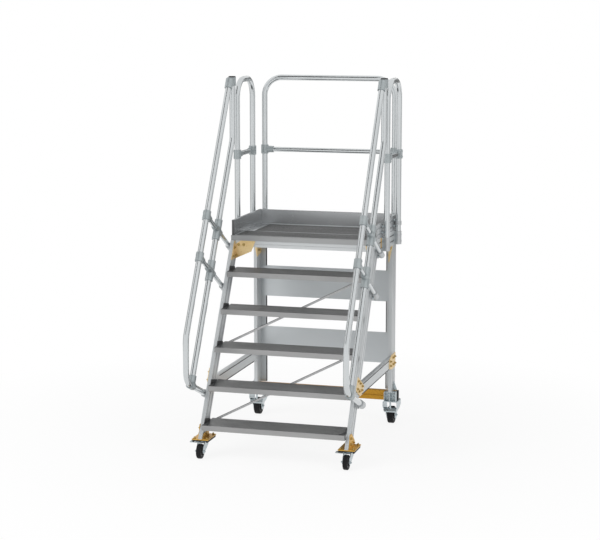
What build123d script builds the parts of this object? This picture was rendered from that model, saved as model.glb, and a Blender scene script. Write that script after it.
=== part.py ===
from build123d import *
import math
import os

# Mobile platform stairs: a steep flight of steps between two stringers, a railed platform at the top,
# two rear legs, and four castors. +X is the right side, +Y runs back from the lowest step, +Z is up.
# The origin is on the floor, in the middle of the whole outline. All lengths are in millimetres.

# Flight of steps
slopeAngle = 60.0
stepRise = 240.0
stepCount = 5
firstStepTop = 220.0
innerWidth = 990.0
profileThickness = 25.0
stringerSetback = 10.0
stringerDepth = 100.0
stringerFoot = 134.0
treadDepth = 225.0
treadOverhang = 32.0
treadLift = 9.0
treadHeight = 35.0
treadWall = 6.0
treadGrooves = 14
treadGrooveWidth = 6.0
treadGrooveDepth = 2.0
treadGrooveMargin = 22.0

# Grooves along the extruded profiles
slotWidth = 9.0
slotDepth = 5.0

# Stair braces behind the steps
braceWidth = 16.0
braceThickness = 8.0
braceInset = 10.0
braceGap = 3.0
braceSpacerDiameter = 20.0

# Platform
platformDepth = 650.0
deckThickness = 35.0
frontPlankDepth = 255.0
plankGap = 2.0
frontBeamHeight = 80.0
frontBeamDepth = 38.0
frontBeamSetback = 8.0
frontBeamGroove = 3.0
rearBeamThickness = 25.0
sideBeamHeight = 104.0
toeBoardHeight = 106.0
toeBoardThickness = 20.0
toeBoardSetback = 20.0

# Tubes of the guardrails and handrails
tubeDiameter = 40.0
tubeStandOff = 5.0
midRailDiameter = 34.0
armDiameter = 30.0
fitGap = 0.2
guardrailHeight = 1091.0
midRailHeight = 547.0
sidePostSetback = 229.0
sidePostSpacing = 358.0
sideBendRadius = 135.0
backPostInset = 8.0
backBendRadius = 130.0

# Stair handrails, measured square to the slope in front of the line through the step noses
handrailReach = 481.0
kneeRailReach = 229.0
armPlaces = (1027.0, 1330.0)
handrailFrontReach = 190.0
handrailLowCorner = 555.0
handrailUpperBend = 150.0
handrailLowerBend = 115.0
handrailFootAlong = 245.0
handrailFootDeep = 26.0
kneePostGap = 108.0
kneeBendRadius = 60.0
topJointSpan = 55.0
handSleeveLength = 62.0
postSleeveLength = 60.0
bridgeHeight = 25.0
bridgeWidth = 40.0

# Cast clamps, sockets and feet
castWall = 6.5
clampLength = 64.0
kneeClampLength = 146.0
clampNeckReach = 66.0
clampNeckWall = 6.0
clampDraft = 1.0
socketWall = 4.0
socketBacking = 36.0
socketHeight = 94.0
socketFloor = 10.0
socketDrop = 100.0
footPlateThickness = 10.0
footPlateWidth = 62.0
footPlateLength = 92.0
armFootBehind = 85.0
capHeight = 7.0
capInset = 2.0
collarRise = 39.0
collarHeight = 27.0

# Rear legs, panels, boards and crossbeam
legDepth = 110.0
legRearInset = 40.0
legFlangeReach = 38.0
legFlangeThickness = 12.0
panelThickness = 4.0
panelHeight = 226.0
panelBottoms = (437.0, 891.0)
boardBottom = 424.0
boardHeight = 82.0
boardGroove = 4.0
boardGrooveInset = 5.0
crossbeamBottom = 172.0
crossbeamHeight = 70.0
crossbeamDepth = 40.0
crossbeamShift = 12.0
crossbeamOverhang = 25.0
endCapThickness = 12.0

# Gold plates and steel brackets
plateThickness = 4.0
plateRadius = 8.0
stairGussetDrop = 128.0
stairGussetTip = 75.0
stairGussetStep = 24.0
stairGussetMargin = 2.0
stairGussetCornerDrop = 30.0
stairGussetCornerShare = 0.3
boardPlateBelow = 34.0
boardPlateAbove = 66.0
boardPlateReach = 88.0
boardPlateHeel = 20.0
boardPlateStep = 40.0
legPlateReach = 85.0
legPlateShoulder = 15.0
legPlateRise = 14.0
legPlateDrop = 9.0
legPlateTaperTop = 12.0
legPlateTaperUnder = 6.0
legGussetHeight = 122.0
bracketReach = 46.0
bracketWidth = 88.0
bracketHeight = 70.0
outerGussetHeight = 68.0

# Front castors, which swivel
frontCastorY = 30.0
frontTrail = 60.0
frontWheelDiameter = 100.0
frontWheelWidth = 32.0
frontHubDiameter = 70.0
frontCastorHeight = 120.0
castorPlateWidth = 115.0
castorPlateFront = -40.0
castorPlateLength = 175.0
castorPlateThickness = 6.0
castorPadThickness = 8.0
castorPadInset = 3.0
flangeStart = 22.0
flangeInset = 5.0
flangeHeight = 92.0
flangeToe = 30.0
flangeTopStart = 45.0
flangeTopEnd = 85.0
innerFlangeInset = 25.0
innerFlangeHeight = 34.0
innerFlangeTopStart = 40.0
flangeSlant = 5.0
headPlateWidth = 84.0
headPlateThickness = 5.0
raceDiameter = 60.0
raceHeight = 10.0
kingpinDiameter = 12.0
kingpinNutDiameter = 19.0
kingpinNutHeight = 5.0
swivelGap = 0.3
forkThickness = 4.0
forkEye = 16.0
forkCrownFront = 40.0
forkCrownBack = 38.0
forkSkirt = 22.0
leverReach = 82.0
leverWidth = 34.0

# Rear castors, which are fixed
rearWheelDiameter = 125.0
rearWheelWidth = 43.0
rearSideGap = 7.5
rearHubDiameter = 84.0
rearForkTopWidth = 108.0
rearForkDepth = 124.0
rearForkBelly = 100.0
rearForkEnd = 30.0
rearForkWaistRise = 7.0
rearForkShoulder = 132.0
rearForkBend = 24.0
rearForkCorner = 10.0
crownThickness = 6.0
guardThickness = 4.0
guardGap = 6.0
guardStemWidth = 12.0
guardStemDepth = 6.0

# Wheels and axles of both kinds
axleDiameter = 10.0
runningGap = 0.05
frontSideGap = 5.5
hubSideGap = 0.3
bossDiameter = 22.0
hubRecess = 7.0
hubWall = 6.0
hubEdge = 1.0
hubDraft = 2.0
axleHeadDiameter = 17.0
axleHeadHeight = 6.0
treadRound = 6.0
tyreGap = 0.05

# Derived places
sine = math.sin(math.radians(slopeAngle))
cosine = math.cos(math.radians(slopeAngle))
stepGoing = stepRise * cosine / sine
innerX = innerWidth / 2
outerX = innerX + profileThickness
tubeRadius = tubeDiameter / 2
railX = outerX + tubeStandOff + tubeRadius
deckTop = firstStepTop + stepCount * stepRise
deckUnder = deckTop - deckThickness
sideBeamUnder = deckTop - sideBeamHeight
castRadius = tubeRadius + fitGap + castWall
socketRadius = tubeRadius + fitGap + socketWall
rearReach = stepCount * stepGoing + platformDepth + rearBeamThickness + tubeStandOff + tubeRadius + castRadius
noseY = (handrailFrontReach + tubeRadius - rearReach) / 2
platformFront = noseY + stepCount * stepGoing
toeFace = platformFront + platformDepth
platformBack = toeFace + rearBeamThickness
railTop = deckTop + guardrailHeight - tubeRadius
midRailZ = deckTop + midRailHeight
legBack = platformBack - legRearInset
legFront = legBack - legDepth
crossbeamTop = crossbeamBottom + crossbeamHeight
crossbeamMiddle = (legFront + legBack) / 2 + crossbeamShift
crossbeamFront = crossbeamMiddle - crossbeamDepth / 2
castorX = (innerX + outerX) / 2
slopeUp = Vector(0, cosine, sine)
slopeOut = Vector(0, -sine, cosine)
sides = (("left", -1), ("right", 1))

os.makedirs("parts", exist_ok=True)


def save(piece, name):
    piece.part.label = name
    export_step(piece.part, f"parts/{name}.step")


def slope_yz(along, behind):
    """Place on the side view: along the slope from the first nose, and square behind the nose line."""
    y = noseY + along * cosine + behind * sine
    z = firstStepTop + along * sine - behind * cosine
    return (y, z)


def slope_at_height(behind, z):
    along = (z - firstStepTop + behind * cosine) / sine
    return slope_yz(along, behind)


def rail_point(side, along, behind):
    y, z = slope_yz(along, behind)
    return Vector(side * railX, y, z)


def rod(start, end, diameter):
    run = Vector(end) - Vector(start)
    with BuildPart() as bar:
        with BuildSketch(Plane(origin=start, z_dir=run)):
            Circle(diameter / 2)
        extrude(amount=run.length)
    return bar.part


def bent_tube(points, radii, diameter):
    run = Vector(points[1]) - Vector(points[0])
    with BuildPart() as tube:
        with BuildLine() as path:
            FilletPolyline(*points, radius=radii)
        with BuildSketch(Plane(origin=points[0], z_dir=run)):
            Circle(diameter / 2)
        sweep(path=path.line)
    return tube.part


def slab(side, outline, near, thickness, radius=0):
    """Flat piece of a side view outline, from the distance near outwards on one side."""
    start = near if side > 0 else -near - thickness
    with BuildPart() as piece:
        with BuildSketch(Plane.YZ.offset(start)) as face:
            with BuildLine():
                Polyline(*outline, close=True)
            make_face()
            if radius:
                fillet(face.vertices(), radius)
        extrude(amount=thickness)
    return piece.part


def box(low, high):
    size = [top - bottom for bottom, top in zip(low, high)]
    with BuildPart() as block:
        with Locations(tuple(low)):
            Box(*size, align=(Align.MIN, Align.MIN, Align.MIN))
    return block.part


def mirrored_box(side, low, high):
    """Box whose X range is given as distances from the middle, placed on one side."""
    near, far = sorted((side * low[0], side * high[0]))
    return box((near, low[1], low[2]), (far, high[1], high[2]))


def clamp(centre, railRun, railDiameter, necks, length):
    """Cast sleeve round a rail, with a bored neck for each tube that joins it."""
    sleeveRadius = railDiameter / 2 + fitGap + castWall
    start = Vector(centre) - railRun * (length / 2)
    with BuildPart() as casting:
        with BuildSketch(Plane(origin=start, z_dir=railRun)):
            Circle(sleeveRadius)
        extrude(amount=length)
        for neckRun, neckDiameter in necks:
            neckRadius = neckDiameter / 2 + fitGap + clampNeckWall
            with BuildSketch(Plane(origin=centre, z_dir=neckRun)):
                Circle(sleeveRadius - clampDraft)
            with BuildSketch(Plane(origin=Vector(centre) + neckRun * clampNeckReach, z_dir=neckRun)):
                Circle(neckRadius)
            loft()
        with BuildSketch(Plane(origin=start - railRun * length, z_dir=railRun)):
            Circle(railDiameter / 2 + fitGap)
        extrude(amount=3 * length, mode=Mode.SUBTRACT)
        for neckRun, neckDiameter in necks:
            with BuildSketch(Plane(origin=Vector(centre) + neckRun * sleeveRadius, z_dir=neckRun)):
                Circle(neckDiameter / 2 + fitGap)
            extrude(amount=clampNeckReach, mode=Mode.SUBTRACT)
    return casting.part


def neck_floor(railDiameter):
    """Distance from a rail's axis at which a tube seats in its clamp's neck."""
    return railDiameter / 2 + fitGap + castWall


def post_socket(origin, outwards, height):
    """Cast cup for a post, flat against the beam that carries it, rounded on the outside."""
    base = Plane(origin=origin, x_dir=outwards, z_dir=(0, 0, 1))
    backing = tubeStandOff + tubeRadius
    with BuildPart() as socket:
        with BuildSketch(base):
            Circle(socketRadius)
            with Locations((-backing / 2, 0)):
                Rectangle(backing, socketBacking)
            with Locations((-backing - socketRadius, 0)):
                Rectangle(2 * socketRadius, 3 * socketRadius, mode=Mode.SUBTRACT)
        extrude(amount=height)
        with BuildSketch(base.offset(socketFloor)):
            Circle(tubeRadius + fitGap)
        extrude(amount=height, mode=Mode.SUBTRACT)
    return socket.part


def slope_foot(side, middle, run, diameter, depth):
    """Cast foot on a stringer's outer face, with a cup that a handrail tube seats in."""
    centre = Vector(side * railX, *middle)
    start = outerX if side > 0 else -outerX - footPlateThickness
    cupRadius = diameter / 2 + fitGap + castWall
    angle = math.degrees(math.atan2(run.Z, run.Y))
    with BuildPart() as foot:
        with BuildSketch(Plane.YZ.offset(start)):
            with Locations(Location(middle, angle)):
                SlotOverall(footPlateLength, footPlateWidth)
        extrude(amount=footPlateThickness)
        with BuildSketch(Plane(origin=centre - run * (footPlateLength / 2 - castWall), z_dir=run)):
            Circle(cupRadius)
        extrude(amount=depth + footPlateLength / 2)
        with BuildSketch(Plane(origin=centre, z_dir=run)):
            Circle(diameter / 2 + fitGap)
        extrude(amount=depth + footPlateLength, mode=Mode.SUBTRACT)
        near, far = sorted((side * outerX, side * (outerX - cupRadius)))
        with Locations(((near + far) / 2, middle[0], middle[1])):
            Box(far - near, 4 * footPlateLength, 4 * footPlateLength, mode=Mode.SUBTRACT)
    return foot.part


# Stringers: slotted extrusions cut level at the foot and under the deck
stringerBack = stringerSetback + stringerDepth
for name, side in sides:
    with BuildPart() as stringer:
        outline = [
            slope_at_height(stringerSetback, stringerFoot),
            slope_at_height(stringerBack, stringerFoot),
            slope_at_height(stringerBack, deckUnder),
            slope_at_height(stringerSetback, deckUnder),
        ]
        add(slab(side, outline, innerX, profileThickness))
        for share in (0.25, 0.75):
            middle = stringerSetback + share * stringerDepth
            groove = [
                slope_at_height(middle - slotWidth / 2, stringerFoot - slotWidth),
                slope_at_height(middle + slotWidth / 2, stringerFoot - slotWidth),
                slope_at_height(middle + slotWidth / 2, deckUnder + slotWidth),
                slope_at_height(middle - slotWidth / 2, deckUnder + slotWidth),
            ]
            add(slab(side, groove, innerX, slotDepth), mode=Mode.SUBTRACT)
            add(slab(side, groove, outerX - slotDepth, slotDepth), mode=Mode.SUBTRACT)
    save(stringer, f"stringer_{name}")

# Steps: open extrusions with a grooved tread, a front nose and a rear flange
for index in range(stepCount):
    nose = noseY + index * stepGoing - treadOverhang
    top = firstStepTop + index * stepRise + treadLift
    pitch = (treadDepth - 2 * treadGrooveMargin) / (treadGrooves - 1)
    with BuildPart() as step:
        with BuildSketch(Plane.YZ.offset(-innerX)):
            with Locations((nose + treadDepth / 2, top - treadHeight / 2)):
                Rectangle(treadDepth, treadHeight)
            with Locations((nose + treadDepth / 2, top - treadHeight / 2 - treadWall)):
                Rectangle(treadDepth - 2 * treadWall, treadHeight, mode=Mode.SUBTRACT)
            with Locations((nose + treadDepth / 2, top)):
                with GridLocations(pitch, 0, treadGrooves, 1):
                    Rectangle(treadGrooveWidth, 2 * treadGrooveDepth, mode=Mode.SUBTRACT)
        extrude(amount=innerWidth)
    save(step, f"step_{index + 1}")

# Braces: flat bars across the backs of three steps, held off by spacers
braceRun = (treadHeight + braceWidth) / 2 * stepGoing / stepRise
braceSpacer = braceThickness / 2 + braceGap + braceRun
with BuildPart() as braces:
    for firstStep in (0, 2):
        ends = []
        for index, reach in ((firstStep, -1), (firstStep + 2, 1)):
            y = noseY + index * stepGoing - treadOverhang + treadDepth
            z = firstStepTop + index * stepRise + treadLift - treadHeight / 2
            ends.append(Vector(reach * (innerX - braceInset), y, z))
        away = Vector(0, braceSpacer, 0)
        run = ends[1] - ends[0]
        start = ends[0] + away - run.normalized() * (braceWidth / 2)
        with BuildSketch(Plane(origin=start, x_dir=Vector(0, 1, 0).cross(run), z_dir=run)):
            Rectangle(braceWidth, braceThickness)
        extrude(amount=run.length + braceWidth)
        for seat in (ends[0], ends[0] + run * 0.5, ends[1]):
            add(rod(seat, seat + away, braceSpacerDiameter))
save(braces, "stair_braces")

# Platform front beam: the deck's nose over a lower box, set back, that fits between the stringers
beamUnder = deckTop - frontBeamHeight
beamFace = platformFront + frontBeamSetback
with BuildPart() as frontBeam:
    noseBack = platformFront + frontBeamDepth
    add(box((-outerX, platformFront, deckUnder), (outerX, noseBack, deckTop)))
    add(box((-innerX, beamFace, beamUnder), (innerX, noseBack, deckUnder)))
    with Locations((0, beamFace, (beamUnder + deckUnder) / 2)):
        Box(2 * outerX, 2 * frontBeamGroove, frontBeamGroove, mode=Mode.SUBTRACT)
save(frontBeam, "platform_front_beam")

# Platform side beams: slotted, cut to the stringer's slope in front
for name, side in sides:
    with BuildPart() as sideBeam:
        outline = [
            (platformFront + frontBeamDepth, deckTop),
            (platformBack, deckTop),
            (platformBack, sideBeamUnder),
            slope_at_height(stringerBack, sideBeamUnder),
            slope_at_height(stringerBack, deckUnder),
            (platformFront + frontBeamDepth, deckUnder),
        ]
        add(slab(side, outline, innerX, profileThickness))
        for share in (0.3, 0.7):
            z = sideBeamUnder + share * sideBeamHeight
            low = (outerX - slotDepth, platformFront, z - slotWidth / 2)
            high = (outerX + slotDepth, platformBack + slotDepth, z + slotWidth / 2)
            add(mirrored_box(side, low, high), mode=Mode.SUBTRACT)
    save(sideBeam, f"platform_side_{name}")

# Platform rear beam between the side beams
with BuildPart() as rearBeam:
    add(box((-innerX, toeFace, sideBeamUnder), (innerX, platformBack, deckTop)))
save(rearBeam, "platform_rear_beam")

# Deck planks, grooved on top
plankSplit = platformFront + frontPlankDepth
planks = (
    ("front", platformFront + frontBeamDepth, plankSplit - plankGap / 2),
    ("rear", plankSplit + plankGap / 2, toeFace),
)
for name, start, end in planks:
    grooves = int((end - start - 2 * treadGrooveMargin) // (2.2 * treadGrooveWidth))
    pitch = (end - start - 2 * treadGrooveMargin) / (grooves - 1)
    with BuildPart() as plank:
        with BuildSketch(Plane.YZ.offset(-innerX)):
            with Locations(((start + end) / 2, deckTop - deckThickness / 2)):
                Rectangle(end - start, deckThickness)
            with Locations(((start + end) / 2, deckTop)):
                with GridLocations(pitch, 0, grooves, 1):
                    Rectangle(treadGrooveWidth, 2 * treadGrooveDepth, mode=Mode.SUBTRACT)
        extrude(amount=innerWidth)
    save(plank, f"deck_plank_{name}")

# Toe boards round three sides of the deck
toeTop = deckTop + toeBoardHeight
with BuildPart() as sideToeBoards:
    for name, side in sides:
        low = (outerX - toeBoardThickness, platformFront + toeBoardSetback, deckTop)
        add(mirrored_box(side, low, (outerX, platformBack, toeTop)))
        for share in (0.3, 0.7):
            z = deckTop + share * toeBoardHeight
            low = (outerX - slotDepth, platformFront, z - slotWidth / 2)
            high = (outerX + slotDepth, platformBack + slotDepth, z + slotWidth / 2)
            add(mirrored_box(side, low, high), mode=Mode.SUBTRACT)
save(sideToeBoards, "toe_boards_side")

with BuildPart() as backToeBoard:
    reach = outerX - toeBoardThickness
    add(box((-reach, toeFace, deckTop), (reach, toeFace + toeBoardThickness, toeTop)))
save(backToeBoard, "toe_board_back")

# Guardrails: bent tubes that stand in cast sockets on the platform's beams
frontPostY = platformFront + sidePostSetback
backPostY = frontPostY + sidePostSpacing
postFoot = deckTop - socketDrop + socketFloor
for name, side in sides:
    with BuildPart() as guardrail:
        corners = [
            (side * railX, frontPostY, postFoot),
            (side * railX, frontPostY, railTop),
            (side * railX, backPostY, railTop),
            (side * railX, backPostY, postFoot),
        ]
        add(bent_tube(corners, sideBendRadius, tubeDiameter))
    save(guardrail, f"side_guardrail_{name}")

backRailY = platformBack + tubeStandOff + tubeRadius
backPostX = innerX - backPostInset
with BuildPart() as backGuardrail:
    corners = [
        (-backPostX, backRailY, postFoot),
        (-backPostX, backRailY, railTop),
        (backPostX, backRailY, railTop),
        (backPostX, backRailY, postFoot),
    ]
    add(bent_tube(corners, backBendRadius, tubeDiameter))
save(backGuardrail, "back_guardrail")

# Mid rails, seated in the necks of their clamps
seat = neck_floor(tubeDiameter)
with BuildPart() as sideMidRails:
    for name, side in sides:
        start = (side * railX, frontPostY + seat, midRailZ)
        add(rod(start, (side * railX, backPostY - seat, midRailZ), midRailDiameter))
save(sideMidRails, "side_midrails")

with BuildPart() as backMidRail:
    start = (-backPostX + seat, backRailY, midRailZ)
    add(rod(start, (backPostX - seat, backRailY, midRailZ), midRailDiameter))
save(backMidRail, "back_midrail")

upright = Vector(0, 0, 1)
with BuildPart() as guardrailClamps:
    for name, side in sides:
        for y, way in ((frontPostY, 1), (backPostY, -1)):
            necks = [(Vector(0, way, 0), midRailDiameter)]
            add(clamp((side * railX, y, midRailZ), upright, tubeDiameter, necks, clampLength))
        necks = [(Vector(-side, 0, 0), midRailDiameter)]
        add(clamp((side * backPostX, backRailY, midRailZ), upright, tubeDiameter, necks, clampLength))
save(guardrailClamps, "guardrail_clamps")

with BuildPart() as postSockets:
    for name, side in sides:
        for y in (frontPostY, backPostY):
            origin = Vector(side * railX, y, deckTop - socketDrop)
            add(post_socket(origin, Vector(side, 0, 0), socketHeight))
        origin = Vector(side * backPostX, backRailY, deckTop - socketDrop)
        add(post_socket(origin, Vector(0, 1, 0), socketHeight))
        ringStart = Vector(side * railX, backPostY, deckTop + collarRise)
        ringEnd = ringStart + upright * collarHeight
        add(rod(ringStart, ringEnd, 2 * socketRadius))
        add(rod(ringStart, ringEnd, tubeDiameter + 2 * fitGap), mode=Mode.SUBTRACT)
save(postSockets, "post_sockets")

# Stair handrails: down the slope, then upright, then in to a foot on the stringer
lowY = noseY - handrailFrontReach
upperAlong = (handrailReach * sine - handrailFrontReach) / cosine
footLine = slope_yz(handrailFootAlong, stringerSetback + stringerDepth / 2)
diagonal = Vector(0, lowY - footLine[0], handrailLowCorner - footLine[1]).normalized()
footPlace = (footLine[0] - diagonal.Y * handrailFootDeep, footLine[1] - diagonal.Z * handrailFootDeep)
kneePostY = frontPostY - kneePostGap
kneeTopAlong = (kneePostY - noseY + kneeRailReach * sine) / cosine
handrailTopAlong = (kneePostY - topJointSpan - noseY + handrailReach * sine) / cosine
topJointHeight = slope_yz(handrailTopAlong, -handrailReach)[1] + tubeRadius + castWall
for name, side in sides:
    foot = Vector(side * railX, *footPlace)
    with BuildPart() as handrail:
        corners = [
            rail_point(side, handrailTopAlong, -handrailReach),
            rail_point(side, upperAlong, -handrailReach),
            Vector(side * railX, lowY, handrailLowCorner),
            foot,
        ]
        add(bent_tube(corners, [handrailUpperBend, handrailLowerBend], tubeDiameter))
    save(handrail, f"handrail_{name}")

# Knee rails: from a clamp on the handrail's lower run up the slope and into an upright
lowCorner = Vector(0, lowY, handrailLowCorner)
kneeStart = slope_yz(0, -kneeRailReach)
cross = diagonal.Y * slopeUp.Z - diagonal.Z * slopeUp.Y
gapY = lowCorner.Y - kneeStart[0]
gapZ = lowCorner.Z - kneeStart[1]
kneeMeet = (diagonal.Y * gapZ - diagonal.Z * gapY) / cross
for name, side in sides:
    with BuildPart() as kneeRail:
        upper = rail_point(side, kneeTopAlong, -kneeRailReach)
        corners = [
            rail_point(side, kneeMeet + neck_floor(tubeDiameter) / cosine * 0.72, -kneeRailReach),
            upper,
            Vector(upper.X, upper.Y, topJointHeight - castWall - capHeight),
        ]
        add(bent_tube(corners, [kneeBendRadius], tubeDiameter))
    save(kneeRail, f"knee_rail_{name}")

# Support arms between the feet, the knee rail and the handrail
kneeSeat = neck_floor(tubeDiameter)
with BuildPart() as arms:
    for name, side in sides:
        for along in armPlaces:
            footEnd = rail_point(side, along, armFootBehind)
            kneeBack = rail_point(side, along, -kneeRailReach + kneeSeat)
            kneeFront = rail_point(side, along, -kneeRailReach - kneeSeat)
            handEnd = rail_point(side, along, -handrailReach + kneeSeat)
            add(rod(footEnd, kneeBack, armDiameter))
            add(rod(kneeFront, handEnd, armDiameter))
save(arms, "handrail_arms")

with BuildPart() as handrailClamps:
    for name, side in sides:
        for along in armPlaces:
            hand = rail_point(side, along, -handrailReach)
            knee = rail_point(side, along, -kneeRailReach)
            add(clamp(hand, slopeUp, tubeDiameter, [(-slopeOut, armDiameter)], clampLength))
            necks = [(slopeOut, armDiameter), (-slopeOut, armDiameter)]
            add(clamp(knee, slopeUp, tubeDiameter, necks, kneeClampLength))
        meet = rail_point(side, kneeMeet, -kneeRailReach)
        add(clamp(meet, diagonal, tubeDiameter, [(slopeUp, tubeDiameter)], clampLength))
save(handrailClamps, "handrail_clamps")

with BuildPart() as handrailFeet:
    for name, side in sides:
        for along in armPlaces:
            add(slope_foot(side, slope_yz(along, armFootBehind), slopeOut, armDiameter, stringerDepth / 4))
        add(slope_foot(side, footPlace, diagonal, tubeDiameter, stringerDepth / 4))
save(handrailFeet, "handrail_feet")

# Top joints: one casting holds the handrail's end and the knee rail's upright, with a bridge between
capSeat = topJointHeight - capHeight
with BuildPart() as topJoints:
    for name, side in sides:
        upper = rail_point(side, kneeTopAlong, -kneeRailReach)
        handEnd = rail_point(side, handrailTopAlong, -handrailReach)
        post = Vector(upper.X, upper.Y, capSeat)
        bridge = [
            (handEnd.Y, capSeat),
            (upper.Y, capSeat),
            (upper.Y, capSeat - bridgeHeight),
            (handEnd.Y, capSeat - bridgeHeight),
        ]
        add(slab(side, bridge, railX - bridgeWidth / 2, bridgeWidth))
        add(rod(handEnd - slopeUp * handSleeveLength, handEnd + slopeUp * castWall, 2 * castRadius))
        add(rod(post - upright * postSleeveLength, post, 2 * castRadius))
        boreDiameter = tubeDiameter + 2 * fitGap
        add(rod(handEnd - slopeUp * (2 * handSleeveLength), handEnd, boreDiameter), mode=Mode.SUBTRACT)
        roof = post - upright * castWall
        add(rod(roof - upright * (2 * postSleeveLength), roof, boreDiameter), mode=Mode.SUBTRACT)
save(topJoints, "handrail_top_joints")

with BuildPart() as handrailCaps:
    for name, side in sides:
        upper = rail_point(side, kneeTopAlong, -kneeRailReach)
        with BuildSketch(Plane(origin=(upper.X, upper.Y, capSeat))):
            Circle(castRadius - capInset)
        extrude(amount=capHeight)
save(handrailCaps, "handrail_caps")

# Rear legs: slotted, with an inner flange at the back that carries the panels
for name, side in sides:
    with BuildPart() as leg:
        add(mirrored_box(side, (innerX, legFront, crossbeamTop), (outerX, legBack, sideBeamUnder)))
        low = (innerX - legFlangeReach, legBack - legFlangeThickness, crossbeamTop)
        add(mirrored_box(side, low, (innerX, legBack, sideBeamUnder)))
        for share in (0.3, 0.7):
            y = legFront + share * legDepth
            low = (outerX - slotDepth, y - slotWidth / 2, crossbeamTop - slotDepth)
            high = (outerX + slotDepth, y + slotWidth / 2, sideBeamUnder + slotDepth)
            add(mirrored_box(side, low, high), mode=Mode.SUBTRACT)
    save(leg, f"leg_{name}")

# Rear panels in front of the leg flanges
panelBack = legBack - legFlangeThickness
with BuildPart() as panels:
    for bottom in panelBottoms:
        low = (-innerX, panelBack - panelThickness, bottom)
        add(box(low, (innerX, panelBack, bottom + panelHeight)))
save(panels, "rear_panels")

# Side boards from the stringers to the legs
boardTop = boardBottom + boardHeight
with BuildPart() as boards:
    for name, side in sides:
        outline = [
            slope_at_height(stringerBack, boardBottom),
            (legFront, boardBottom),
            (legFront, boardTop),
            slope_at_height(stringerBack, boardTop),
        ]
        add(slab(side, outline, innerX, profileThickness))
        for z in (boardBottom + boardGrooveInset, boardTop - boardGrooveInset):
            low = (outerX - slotDepth, noseY, z - boardGroove / 2)
            high = (outerX + slotDepth, legFront + slotDepth, z + boardGroove / 2)
            add(mirrored_box(side, low, high), mode=Mode.SUBTRACT)
save(boards, "side_boards")

# Gold plates that join the side boards to the stringers and the legs
boardAlong = ((boardBottom + boardTop) / 2 - firstStepTop + stringerBack * cosine) / sine
plateLow = boardAlong - boardPlateBelow
plateHigh = boardAlong + boardPlateAbove
with BuildPart() as boardPlates:
    for name, side in sides:
        outline = [
            slope_yz(plateLow, stringerSetback),
            slope_yz(plateHigh, stringerSetback),
            slope_yz(plateHigh, stringerBack + boardPlateReach),
            slope_yz(plateHigh - boardPlateStep, stringerBack + boardPlateReach),
            slope_yz(plateLow, stringerBack + boardPlateHeel),
        ]
        add(slab(side, outline, outerX, plateThickness, plateRadius))
        outline = [
            (legFront - legPlateReach, boardBottom + legPlateTaperUnder),
            (legFront - legPlateReach, boardTop - legPlateTaperTop),
            (legFront - legPlateShoulder, boardTop + legPlateRise),
            (legBack - plateThickness, boardTop + legPlateRise),
            (legBack - plateThickness, boardBottom - legPlateDrop),
            (legFront - legPlateShoulder, boardBottom - legPlateDrop),
        ]
        add(slab(side, outline, outerX, plateThickness, plateRadius))
save(boardPlates, "board_plates")

# Gold stair gussets: a side flange on the stringer, folded into a tapered web on the front beam's face
gussetUnder = deckUnder - stairGussetDrop
gussetWebs = (
    # side, direction, width at the top, width at the tip
    ("left", -1, 152.0, 122.0),
    ("right", 1, 45.0, 36.0),
)
with BuildPart() as stairGussets:
    for name, side, webTop, webTip in gussetWebs:
        outline = [
            slope_at_height(stringerSetback + stairGussetMargin, gussetUnder),
            slope_at_height(stringerSetback + stairGussetMargin, deckUnder - stairGussetStep),
            (beamFace, deckUnder),
            (beamFace, gussetUnder),
        ]
        add(slab(side, outline, innerX - plateThickness, plateThickness))
        with BuildSketch(Plane.XZ.offset(-beamFace)):
            with BuildLine():
                Polyline(
                    (side * innerX, deckUnder - stairGussetCornerDrop),
                    (side * (innerX - webTop * stairGussetCornerShare), deckUnder),
                    (side * (innerX - webTop), deckUnder),
                    (side * (innerX - webTip), deckUnder - stairGussetTip),
                    (side * (innerX - plateThickness), gussetUnder),
                    (side * innerX, gussetUnder),
                    close=True,
                )
            make_face()
        extrude(amount=plateThickness)
save(stairGussets, "stair_gussets")

# Gold leg gussets: a side flange inside the leg and a wedge over its front face
with BuildPart() as legGussets:
    for name, side in sides:
        outline = [
            (legFront - plateThickness, sideBeamUnder),
            (legBack - legFlangeThickness, sideBeamUnder),
            (legBack - legFlangeThickness, sideBeamUnder - legGussetHeight * 0.85),
            (legFront - plateThickness, sideBeamUnder - legGussetHeight),
        ]
        add(slab(side, outline, innerX - plateThickness, plateThickness))
        with BuildSketch(Plane.XZ.offset(-legFront)):
            with BuildLine():
                Polyline(
                    (side * (innerX - plateThickness), sideBeamUnder),
                    (side * outerX, sideBeamUnder),
                    (side * innerX, sideBeamUnder - legGussetHeight),
                    (side * (innerX - plateThickness), sideBeamUnder - legGussetHeight),
                    close=True,
                )
            make_face()
        extrude(amount=plateThickness)
save(legGussets, "leg_gussets")

# Rear crossbeam, grooved along its front face, with black end caps
crossbeamReach = outerX + crossbeamOverhang
with BuildPart() as crossbeam:
    back = crossbeamFront + crossbeamDepth
    add(box((-crossbeamReach, crossbeamFront, crossbeamBottom), (crossbeamReach, back, crossbeamTop)))
    with Locations((0, crossbeamFront, crossbeamBottom + crossbeamHeight / 2)):
        Box(3 * crossbeamReach, 2 * slotDepth, slotWidth, mode=Mode.SUBTRACT)
save(crossbeam, "rear_crossbeam")

with BuildPart() as endCaps:
    for name, side in sides:
        low = (crossbeamReach, crossbeamFront, crossbeamBottom)
        high = (crossbeamReach + endCapThickness, crossbeamFront + crossbeamDepth, crossbeamTop)
        add(mirrored_box(side, low, high))
    fillet(endCaps.edges().filter_by(Axis.Z).group_by(Axis.X)[0], plateThickness)
    fillet(endCaps.edges().filter_by(Axis.Z).group_by(Axis.X)[-1], plateThickness)
save(endCaps, "crossbeam_caps")

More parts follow.
